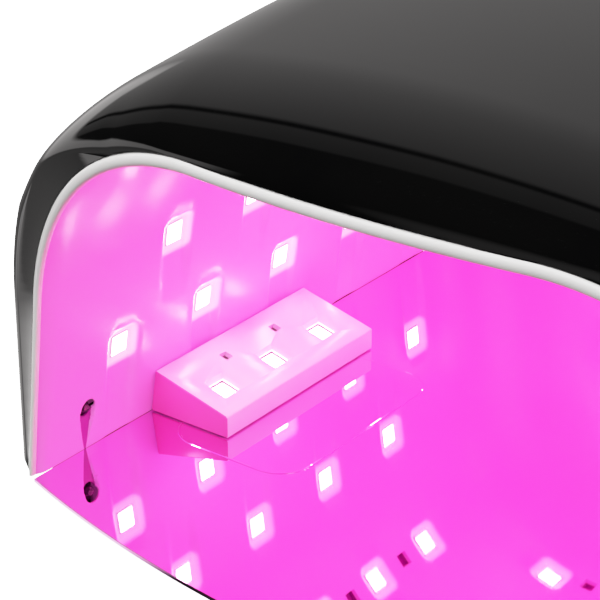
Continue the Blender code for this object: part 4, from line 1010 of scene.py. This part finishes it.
def sensor_depth(run, y):
    """The channel under the hand sensor's hole, which runs out at the floor."""
    start = ease((np.abs(run) - SENSOR_RUN) / 0.0016)
    side = ease(1 - (np.abs(y - SENSOR_Y) - SENSOR_RADIUS) / 0.0005)
    return SENSOR_CHANNEL_DEPTH * (1 - sensor_share(run)) * start * side


def drawn_in(run, y):
    """The places' y, drawn in under the sensor's hole so that its channel narrows to a point."""
    beside = np.abs(y - SENSOR_Y)
    kept = 1 - 0.85 * sensor_share(run)
    moved = np.minimum(beside, SENSOR_CORE) * kept
    outer = (SENSOR_PATCH - SENSOR_CORE * kept) / (SENSOR_PATCH - SENSOR_CORE)
    moved = moved + np.maximum(beside - SENSOR_CORE, 0) * outer
    return np.where(beside < SENSOR_PATCH, SENSOR_Y + np.sign(y - SENSOR_Y) * moved, y)


# The liner paints shade, a dark colour, where this is 1.
def recess_amount(run, y):
    """1 in a dimple and in the channel under the hand sensor's hole, 0 elsewhere."""
    below = np.clip((np.abs(run) - SENSOR_RUN) / 0.0012, 0, 1)
    amount = below * np.clip(0.5 + (SENSOR_RADIUS - np.abs(y - SENSOR_Y)) / 0.0016, 0, 1)
    for place, place_y in DIMPLES:
        reach = np.maximum(np.abs(run - place), np.abs(y - place_y))
        amount = np.maximum(amount, reach < DIMPLE_HALF + 0.0001)
    return amount


def painted_halo(run, y):
    """The painted light on each light's own pocket, for its LED's light on the pocket walls: 1 at its window,
    0 outside the flare.
    """
    amount = 0 * (run + y)
    for centre, centre_y, floorward, reach in POCKETS:
        beside, along = (np.maximum(np.abs(gap) - WINDOW_HALF, 0) for gap in (y - centre_y, run - centre))
        amount = np.maximum(amount, np.clip(2 - 2 * np.hypot(beside, along) / POCKET_FLARE, 0, 1))
    return amount


def liner_depth(run, y):
    depth = sensor_depth(run, y)
    for pocket in POCKETS:
        depth = np.maximum(depth, pocket_depth(run, y, pocket))
    for dimple_run, dimple_y in DIMPLES:
        beyond = np.maximum(np.abs(run - dimple_run), np.abs(y - dimple_y)) - DIMPLE_HALF
        depth = np.maximum(depth, DIMPLE_DEPTH * np.clip(1 - beyond / 0.0003, 0, 1))
    return depth


def sensor_patch(points, faces, corners, centre, recesses):
    """Fills the square that the grid leaves round the sensor's hole with rings that end in a circle.
    corners is the square's loop of point numbers, with each one's place (run, y)."""
    previous = [index for index, run, y in corners]
    for share in SENSOR_RINGS:
        current = []
        for index, run, y in corners:
            turn = math.atan2(y - SENSOR_Y, run - centre)
            here = np.array(run + (centre + SENSOR_RADIUS * math.cos(turn) - run) * share)
            there = np.array(y + (SENSOR_Y + SENSOR_RADIUS * math.sin(turn) - y) * share)
            x, z = section_point(float(here), float(liner_depth(here, there)))
            recesses[len(points)] = float(recess_amount(here, there))
            current.append(len(points))
            points.append((x, float(drawn_in(here, there)), z))
        stitch(faces, previous, current)
        previous = current


def inside(x, z, outline):
    """True where the point lies inside the outline."""
    result = False
    for (x0, z0), (x1, z1) in zip(outline, outline[1:] + outline[:1]):
        if (z0 > z) != (z1 > z) and x < x0 + (x1 - x0) * (z - z0) / (z1 - z0):
            result = not result
    return result


def back_cap(points, faces, border, glows):
    """The liner's flat back with a flared pocket for each light. border is the loop of point numbers
    that the curved part ends in."""
    flat = [(points[index][0], points[index][2]) for index in border]
    holes = [square(BACK_POCKET_HALF, BACK_POCKET_CORNER, centre, 4) for centre in BACK_LIGHTS]
    vertices = []
    loops = []
    for outline in [flat] + holes:
        loops.append(list(range(len(vertices), len(vertices) + len(outline))))
        vertices += [Vector(point) for point in outline]
    edges = [(loop[step - 1], loop[step]) for loop in loops for step in range(len(loop))]
    made, _, triangles, origins, _, _ = delaunay_2d_cdt(vertices, edges, [], 0, 1e-7)
    numbers = []
    where = {}
    for place, origin in zip(made, origins):
        if origin and min(origin) < len(flat):
            numbers.append(border[min(origin)])
        else:
            numbers.append(len(points))
            points.append((place.x, LINER_BACK_Y, place.y))
        where.update({index: numbers[-1] for index in origin})
    for triangle in triangles:
        x = sum(made[index].x for index in triangle) / 3
        z = sum(made[index].y for index in triangle) / 3
        if inside(x, z, flat) and not any(inside(x, z, hole) for hole in holes):
            faces.append([numbers[index] for index in triangle])
    for loop, centre in zip(loops[1:], BACK_LIGHTS):
        previous = [where[index] for index in loop]
        for ring in range(1, BACK_POCKET_STEPS + 1):
            share = ring / BACK_POCKET_STEPS
            half = BACK_POCKET_HALF + (WINDOW_HALF - BACK_POCKET_HALF) * share
            corner = BACK_POCKET_CORNER + (0.0002 - BACK_POCKET_CORNER) * share
            y = LINER_BACK_Y + POCKET_DEPTH * float(ease(share))
            current = list(range(len(points), len(points) + len(loop)))
            # Painted light: the pocket's walls take the halo glow.
            glows.update({number: min(2 * share, 1) for number in current})
            points += [(x, y, z) for x, z in square(half, corner, centre, 4)]
            stitch(faces, previous, current)
            previous = current


def mark(thing, name, points, values):
    """Gives the mesh a named value at each point, 0 where the values hold none."""
    tree = KDTree(len(points))
    for index, point in enumerate(points):
        tree.insert(point, index)
    tree.balance()
    data = thing.data.attributes.new(name, "FLOAT", "POINT").data
    for vertex in thing.data.vertices:
        data[vertex.index].value = values.get(tree.find(vertex.co)[1], 0)


def reflector():
    """The liner as one thin moulding: grid lines run along every pocket's edges, and the windows are
    left open."""
    end = SECTION_END + LINER_REACH_DOWN
    holes = (-SENSOR_RUN, SENSOR_RUN)
    runs = grid_lines(-end, end, [pocket[0] for pocket in POCKETS]) + around(holes, SENSOR_OFFSETS)
    runs += around([run for run, y in DIMPLES], DIMPLE_OFFSETS)
    runs += [sign * (SENSOR_RUN + below) for sign in (-1, 1) for below in SENSOR_LINES_BELOW]
    runs = thinned(runs, around(holes, [SENSOR_PATCH]))
    ys = grid_lines(FIRST_ROW_Y, LINER_CORNER_Y + LINER_CORNER_REACH, [pocket[1] for pocket in POCKETS])
    ys += around([SENSOR_Y], SENSOR_OFFSETS) + around([y for run, y in DIMPLES], DIMPLE_OFFSETS)
    ys = thinned(ys, around([SENSOR_Y], [SENSOR_PATCH]))
    where = np.array(runs)[None, :], np.array(ys)[:, None]
    depths, halos, marks = liner_depth(*where), painted_halo(*where), recess_amount(*where)
    points, faces, glows, recesses = [], [], {}, {}
    for step in range(LINER_FRONT_STEPS):
        share = step / LINER_FRONT_STEPS
        for run in runs:
            x, z = section_point(run, (LINER_FLARE + rim_inner(run)) * (1 - share) ** 2)
            start = front_y(x) + LINER_FRONT_START
            points.append((x, start + (FIRST_ROW_Y - start) * share, z))
    for row, y in enumerate(ys):
        inset = LINER_BACK_RADIUS - math.sqrt(LINER_BACK_RADIUS**2 - max(y - LINER_CORNER_Y, 0) ** 2)
        for column, run in enumerate(runs):
            x, z = section_point(run, depths[row, column] - inset)
            # Painted light and shade: each point's halo glow and its dark recess mark.
            glows[len(points)], recesses[len(points)] = halos[row, column], marks[row, column]
            points.append((x, float(drawn_in(run, y)), z))
    first_turn = math.asin(LINER_CORNER_REACH / LINER_BACK_RADIUS)
    for step in range(1, LINER_CORNER_STEPS + 1):
        turn = first_turn + (math.pi / 2 - first_turn) * step / LINER_CORNER_STEPS
        for run in runs:
            x, z = section_point(run, LINER_BACK_RADIUS * (math.cos(turn) - 1))
            points.append((x, LINER_CORNER_Y + LINER_BACK_RADIUS * math.sin(turn), z))
    width = len(runs)
    rows = len(points) // width

    def cells(run, y, half):
        """The grid's cells whose middles lie in the square of this half size round the place."""
        columns = [c for c in range(width - 1) if abs((runs[c] + runs[c + 1]) / 2 - run) < half]
        lines = [r for r in range(len(ys) - 1) if abs((ys[r] + ys[r + 1]) / 2 - y) <= half]
        return {(LINER_FRONT_STEPS + r, c) for r in lines for c in columns}

    patches = [cells(hole, SENSOR_Y, SENSOR_PATCH) for hole in holes]
    windows = [cells(run, y, WINDOW_HALF) for run, y, floorward, reach in POCKETS]
    skipped = set().union(*patches, *windows)
    for row in range(rows - 1):
        for column in range(width - 1):
            if (row, column) not in skipped:
                a = row * width + column
                faces.append([a, a + 1, a + width + 1, a + width])
    for hole, patch in zip(holes, patches):
        low_row, low_column = min(patch)
        high_row, high_column = (place + 1 for place in max(patch))
        loop = [(low_row, column) for column in range(low_column, high_column)]
        loop += [(row, high_column) for row in range(low_row, high_row)]
        loop += [(high_row, column) for column in range(high_column, low_column, -1)]
        loop += [(row, low_column) for row in range(high_row, low_row, -1)]
        corners = [(row * width + column, runs[column], ys[row - LINER_FRONT_STEPS]) for row, column in loop]
        sensor_patch(points, faces, corners, hole, recesses)
    back_cap(points, faces, list(range((rows - 1) * width, rows * width)), glows)
    liner = piece("reflector", points, faces, MATERIALS["reflector"])
    inward = sum((CAVITY_MIDDLE - face.center).dot(face.normal) * face.area for face in liner.data.polygons)
    if inward < 0:
        liner.data.flip_normals()
    mark(liner, "glow", points, glows)
    mark(liner, "recess", points, recesses)
    modified(liner, "SOLIDIFY", thickness=LINER_SKIN, offset=-1)
    stands_for(liner, "hood", "pink_reflector", "reflector_liner")


# Thumb blocks


def thumb_block(side, sign):
    """A hollow wedge whose windows have sloping frames, with its own small light board."""
    pink = MATERIALS["block"]
    wall_x = OPENING_HALF_WIDTH - BLOCK_BACK_HEIGHT * math.tan(WALL_LEAN) - GAP
    slope = math.atan2(BLOCK_BACK_HEIGHT - BLOCK_FRONT_HEIGHT, wall_x - BLOCK_INNER_X)
    front_top = MIRROR_Z + BLOCK_FRONT_HEIGHT
    end_y = BLOCK_START_Y + BLOCK_LENGTH
    out = Vector((-sign * math.sin(slope), 0, math.cos(slope)))
    up = Vector((sign * math.cos(slope), 0, math.sin(slope)))
    axes = (up.cross(out), up, out)

    def top(x):
        return front_top + (x - BLOCK_INNER_X) * math.tan(slope)

    def place(x, y):
        return Vector((sign * x, y, top(x)))

    def wedge(name, outline, ends):
        return stack(name, [([(sign * x, z) for x, z in outline], y) for y in ends], pink, axes=UPRIGHT)

    outer = [
        (BLOCK_INNER_X, HOOD_BOTTOM),
        (BLOCK_INNER_X, front_top),
        (wall_x, MIRROR_Z + BLOCK_BACK_HEIGHT),
        (OPENING_HALF_WIDTH - GAP, HOOD_BOTTOM),
    ]
    block = rounded(wedge(f"{side}_finger_light", outer, (BLOCK_START_Y, end_y)), 0.00035, 3)
    drop = BLOCK_WALL / math.cos(slope)
    inner_front, inner_back = BLOCK_INNER_X + BLOCK_WALL, wall_x - BLOCK_WALL
    hollow = [
        (inner_front, HOOD_BOTTOM - 0.001),
        (inner_front, top(inner_front) - drop),
        (inner_back, top(inner_back) - drop),
        (inner_back + 0.0008, HOOD_BOTTOM - 0.001),
    ]
    combine(block, wedge("hollow", hollow, (BLOCK_START_Y + BLOCK_WALL, end_y - BLOCK_WALL)), "DIFFERENCE")

    first_y = BLOCK_START_Y + BLOCK_LED_START
    lights = [place(BLOCK_LED_X, first_y + BLOCK_LED_PITCH * step) for step in range(3)]
    holes = [place(BLOCK_HOLE_X, first_y + BLOCK_LED_PITCH * (step + 0.5)) for step in range(2)]
    frame_half, small = BLOCK_WINDOW_FRAME / 2, BLOCK_HOLE_SIZE / 2
    window = [
        (square(frame_half + 0.0005, 0.0007), 0.0004),
        (square(frame_half, 0.0005), 0),
        (square(BLOCK_WINDOW_HALF, 0.0003), -0.0008),
        (square(BLOCK_WINDOW_HALF, 0.0003), -BLOCK_CUT_DEPTH),
    ]
    hole = [(square(small, 0.0002), 0.001), (square(small, 0.0002), -BLOCK_CUT_DEPTH)]
    cutters = [stack("window", window, pink, centre, axes) for centre in lights]
    cut(block, cutters + [stack("hole", hole, pink, centre, axes) for centre in holes])
    # Painted shade: the faces at the block's two ends take the darker copy of its material.
    block.data.materials.append(MATERIALS["shaded_block_end"])
    for face in block.data.polygons:
        if abs(face.normal.y) > 0.7 and not BLOCK_START_Y + 0.0005 < face.center.y < end_y - 0.0005:
            face.material_index = len(block.data.materials) - 1
    stands_for(block, "hood", "pink_reflector", f"{side}_thumb_block")

    depth = BLOCK_WALL + GAP
    middle = place((inner_front + inner_back) / 2, (BLOCK_START_Y + end_y) / 2) - out * (depth + 0.0014)
    size = (BLOCK_LENGTH - 2 * BLOCK_WALL - 0.001, BLOCK_BOARD_WIDTH, 0.0008)
    things = [rounded(slab("plate", middle, size, axes, MATERIALS["white_board"]), 0.00015)]
    for centre in lights:
        things += light_chip((centre, -out, up), depth, 0.0011, CHIP_SIZE)
    board = join(f"{side}_finger_lights_board", things)
    stands_for(board, "hood", "white_board", f"{side}_block_led_board")


# Plate


def plate_outline(inset):
    """The plate's outline in plan, drawn in by the inset."""
    half = PLATE_HALF_WIDTH + 0.0002 - inset
    right = []
    for step in range(1, 41):
        x = half * math.sin(math.pi / 2 * step / 40)
        right.append((x, front_y(x) + inset))
    radius = PLATE_CORNER_RADIUS - inset
    centre_x = PLATE_HALF_WIDTH - PLATE_CORNER_RADIUS
    for step in range(17):
        turn = math.pi / 2 * step / 16
        right.append((centre_x + radius * math.cos(turn), PLATE_CORNER_Y + radius * math.sin(turn)))
    return right + [(-x, y) for x, y in reversed(right)] + [(0, front_y(0) + inset)]


def plate_rib(sign):
    """A fine raised line on the plate, a long loop with round ends beside the thumb block."""
    outline = rounded_rectangle(*RIB_SIZE, RIB_RADIUS, (sign * RIB_CENTRE[0], RIB_CENTRE[1]), 10)
    low = MIRROR_Z - RIB_SINK
    loops = []
    for index, (x, y) in enumerate(outline):
        before, after = outline[index - 1], outline[(index + 1) % len(outline)]
        direction = Vector((after[0] - before[0], after[1] - before[1])).normalized()
        loop = []
        for step in range(7):
            turn = math.pi * step / 6
            offset = RIB_HALF * math.cos(turn)
            z = low + (RIB_HEIGHT + RIB_SINK) * math.sin(turn)
            loop.append((x + direction.y * offset, y - direction.x * offset, z))
        loops.append(loop)
    return loft("rib", loops + loops[:1], MATERIALS["mirror"], closed_ends=False)


def floor_plate():
    levels = [(PLATE_EDGE, PLATE_BOTTOM), (0, PLATE_BOTTOM + PLATE_EDGE), (0, MIRROR_Z - PLATE_EDGE)]
    levels += [(PLATE_EDGE * 0.3, MIRROR_Z - PLATE_EDGE * 0.3), (PLATE_EDGE, MIRROR_Z)]
    outlines = [(plate_outline(inset), z) for inset, z in levels]
    plate = stack("mirror_floor", outlines, MATERIALS["mirror"], sharp=15)
    plate = join("mirror_floor", [plate, plate_rib(-1), plate_rib(1)])
    plate.data.set_sharp_from_angle(angle=math.radians(15))
    stands_for(plate, "base_plate", "mirror_floor", "mirror_base_plate")


def feet():
    """Rubber feet with a rounded edge and a ring groove in the face that they stand on."""
    for number, (x, y) in enumerate(FOOT_PLACES, 1):
        low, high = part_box(f"base_foot_{number}")
        radius, top = (high.x - low.x) / 2, high.z
        profile = [(0.0004, 0.0003), (0.0040, 0.0003), (0.0044, 0), (0.0062, 0), (0.0073, 0.0001)]
        profile += [(0.00775, 0.0004), (radius, 0.0007), (radius, top - 0.0002), (radius - 0.0002, top)]
        profile.append((0.0004, top))
        foot = turned(f"rubber_foot_{number}", (x, y, 0), profile, MATERIALS["rubber"], 64)
        stands_for(foot, "base_plate", "black_rubber", f"base_foot_{number}")


# Control panel


def plug(name, width, depth, radius, centre_y, material):
    """A piece of the shell's own wall, as wide and deep as this in plan."""
    outline = rounded_rectangle(width, depth, radius, (0, centre_y))
    thing = prism(name, outline, BELOW_PANEL, ABOVE_PANEL, material)
    return combine(thing, walled("skins", shell_skin(0), shell_skin(SHELL_WALL), material), "INTERSECT")


def control_panel():
    black = MATERIALS["gloss_black"]
    size = (PANEL_WIDTH - 2 * GAP, PANEL_DEPTH - 2 * GAP, PANEL_CORNER - GAP)
    panel = plug("timer_panel", *size, PANEL_CENTRE_Y, black)
    opening = rounded_rectangle(WINDOW_WIDTH, WINDOW_DEPTH, WINDOW_CORNER, (0, WINDOW_CENTRE_Y))
    cutters = [prism("cut", opening, BELOW_PANEL, ABOVE_PANEL, black)]
    bore = [(BUTTON_RADIUS + GAP, z) for z in (BELOW_PANEL, ABOVE_PANEL)]
    cutters += [turned("cut", (x, BUTTON_Y, 0), bore, black) for x in BUTTON_PLACES_X]
    stands_for(cut(panel, cutters), "hood", "gloss_black", "control_panel")
    size = (WINDOW_WIDTH - 2 * GAP, WINDOW_DEPTH - 2 * GAP, WINDOW_CORNER - GAP)
    window = plug("display_glass", *size, WINDOW_CENTRE_Y, MATERIALS["smoked"])
    stands_for(window, "hood", "smoked_window", "display_window")


def number_text(name, text, place):
    """A raised number, centred on this place."""
    curve = bpy.data.curves.new("label", "FONT")
    curve.body, curve.size = text, LABEL_SIZE
    curve.align_x = curve.align_y = "CENTER"
    curve.extrude = LABEL_RISE
    curve.materials.append(MATERIALS["label"])
    letters = shown(name, curve)
    letters.location = place
    bpy.context.view_layer.update()
    mesh = bpy.data.meshes.new_from_object(letters.evaluated_get(bpy.context.evaluated_depsgraph_get()))
    mesh.transform(letters.matrix_world)
    bpy.data.objects.remove(letters)
    return shown(name, mesh)


def buttons():
    for number, (x, label) in enumerate(zip(BUTTON_PLACES_X, BUTTON_LABELS), 1):
        body = f"timer_button_{number}"
        low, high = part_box(body)
        rim = BUTTON_RADIUS
        # Each radius with its depth under the top.
        profile = [(0.0055, 0.0041), (0.0055, 0.0032), (rim, 0.0031), (rim, 0.0005), (rim - 0.0002, 0.0001)]
        profile += [(rim - 0.0006, 0), (0.0032, BUTTON_DISH / 2)]
        profile += [(0.0016, BUTTON_DISH), (0.0002, BUTTON_DISH)]
        profile = [(0.0015, high.z - low.z), (0.0015, 0.0041)] + profile
        profile = [(radius, high.z - depth) for radius, depth in profile]
        cap = turned(f"button_cap_{number}", (x, BUTTON_Y, 0), profile, MATERIALS["button"])
        stands_for(cap, body, "button_grey", body)
        place = (x, BUTTON_Y, high.z - BUTTON_DISH + 0.00005)
        stands_for(number_text(f"button_number_{number}", label, place), body, "button_grey")


def display_digits():
    """Two seven-segment digits that glow under the smoked window."""
    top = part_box("digit_display")[1].z + 0.0001
    half, end = SEGMENT_THICKNESS / 2, SEGMENT_LENGTH / 2
    pitch = SEGMENT_LENGTH + SEGMENT_THICKNESS
    bar = [(-end, 0), (half - end, half), (end - half, half)]
    bar += [(-right, -up) for right, up in bar]
    things = []
    for digit, centre_x in zip(DIGITS, (-DIGIT_X, DIGIT_X)):
        for letter in SEGMENTS_OF[digit]:
            a, b, upright = SEGMENT_PLACES[letter]
            x = centre_x + a * pitch + DIGIT_SLANT * b * SEGMENT_LENGTH
            y = WINDOW_CENTRE_Y + b * pitch * 0.98
            outline = [(x - up, y + right) if upright else (x + right, y + up) for right, up in bar]
            things.append(prism("segment", outline, top, top + 0.0001, MATERIALS["digit"]))
    stands_for(join("display_digits", things), "hood", "smoked_window")


# The frame's own nodes


def dress_frame():
    """Gives each node that is shown as it is a worked material."""
    looks = {
        "black": ("base_frame", "power_inlet"),
        "steel": ("inlet_centre_pin", "frame_screw", "board_screw"),
        "green_board": ("control_board",),
        "dark": ("driver_transistors", "digit_display", "button_switch"),
        "sensor": ("hand_sensor_emitter", "hand_sensor_receiver"),
        "wire": ("left_wiring", "right_wiring", "inlet_wiring"),
        "nickel": ("plate_magnet",),
        "brass": ("board_spacer",),
    }
    look_of = {name: look for look, names in looks.items() for name in names}
    for name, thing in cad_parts.items():
        look = look_of.get(name) or look_of.get(name.rsplit("_", 1)[0])
        if look and not thing.hide_render:
            for slot in thing.material_slots:
                slot.material = MATERIALS[look]


# Stage


def stage():
    """A pale floor, which glossy surfaces don't mirror, as a light tent's dark front would hide it."""
    material, tree, shader = new_material("floor")
    colour = ramp(tree, noise(tree, 3), ((0.4, (0.9, 0.9, 0.9)), (0.6, (0.92, 0.92, 0.92))))
    values = {"Roughness": 0.8, "Emission Color": (1, 1, 1, 1), "Emission Strength": CAMERA_WHITE}
    fill(tree, shader, values, {"Base Color": colour})
    floor = piece("floor", [(-5, -5, 0), (5, -5, 0), (5, 5, 0), (-5, 5, 0)], [[0, 1, 2, 3]], material)
    floor.visible_glossy = False
    floor.visible_diffuse = False


def levels_along(tree, part, stops):
    """The brightness for one part of the direction: stops are (half of 1 + the part, brightness)."""
    middle = node(tree, "Math", {1: 0.5, 2: 0.5}, {0: part})
    middle.operation = "MULTIPLY_ADD"
    return ramp(tree, middle.outputs["Value"], [(position, (value,) * 3) for position, value in stops])


def studio():
    """A backdrop of soft bands from front to back, with a bright low left side and a dim right side.
    The camera itself sees plain white."""
    world = bpy.data.worlds.new("studio")
    world.use_nodes = True
    bpy.context.scene.world = world
    tree = world.node_tree
    where = node(tree, "TexCoord").outputs["Generated"]
    across, along, up = node(tree, "SeparateXYZ", links={"Vector": where}).outputs
    light = levels_along(tree, along, BACKDROP)
    for edges, stops in (((-0.8, -0.7, 1.0, 0.0), LEFT_SIDE), ((0.5, 0.85, 0.0, 1.0), RIGHT_SIDE)):
        side = combined(tree, "MULTIPLY", mapped(tree, across, *edges), levels_along(tree, up, stops))
        light = combined(tree, "MAXIMUM", light, side)
    camera_ray = node(tree, "LightPath").outputs["Is Camera Ray"]
    seen = node(tree, "Mix", {"B": CAMERA_WHITE}, {"Factor": camera_ray, "A": light})
    background = tree.nodes["Background"]
    fill(tree, background, {"Color": (1, 0.97, 0.965, 1)}, {"Strength": seen.outputs["Result"]})


def picture():
    """Standard colours, with highlights that roll off softly."""
    view = bpy.context.scene.view_settings
    view.view_transform = "Standard"
    view.use_curve_mapping = True
    mapping = view.curve_mapping
    mapping.white_level = [HIGHLIGHT_LEVEL] * 3
    for light, level in HIGHLIGHTS:
        mapping.curves[3].points.new(light / HIGHLIGHT_LEVEL, level)
    mapping.update()


def softbox(name, place, size, power, mirrored):
    """A soft area light at the lamp, which glossy surfaces show only when mirrored is True."""
    light = bpy.data.lights.new(name, "AREA")
    light.shape = "RECTANGLE"
    light.size, light.size_y = size
    light.energy = power
    lamp = shown(name, light)
    lamp.location = place
    lamp.rotation_euler = (LAMP_MIDDLE - Vector(place)).to_track_quat("-Z", "Y").to_euler()
    lamp.visible_glossy = mirrored


def camera():
    """The camera, at its place and angle, looking down into the opening from the front right."""
    azimuth, elevation = (math.radians(angle) for angle in CAMERA_ANGLES)
    level = math.cos(elevation)
    right = Vector((math.cos(azimuth), math.sin(azimuth), 0))
    back = Vector((math.sin(azimuth) * level, -math.cos(azimuth) * level, math.sin(elevation)))
    lens = bpy.data.cameras.new("camera")
    lens.sensor_width = 36
    lens.lens = CAMERA_LENS
    lens.clip_start = 0.01
    eye = shown("camera", lens)
    turn = Matrix((right, back.cross(right), back)).transposed().to_4x4()
    eye.matrix_world = Matrix.Translation(CAMERA_PLACE) @ turn
    bpy.context.scene.camera = eye


def main():
    camera()
    studio()
    stage()
    for values in SOFTBOXES:
        softbox(*values)
    hood_shell()
    rim_strip()
    reflector()
    light_boards()
    for side, sign in SIDES:
        thumb_block(side, sign)
    floor_plate()
    feet()
    control_panel()
    buttons()
    display_digits()
    dress_frame()
    picture()


main()
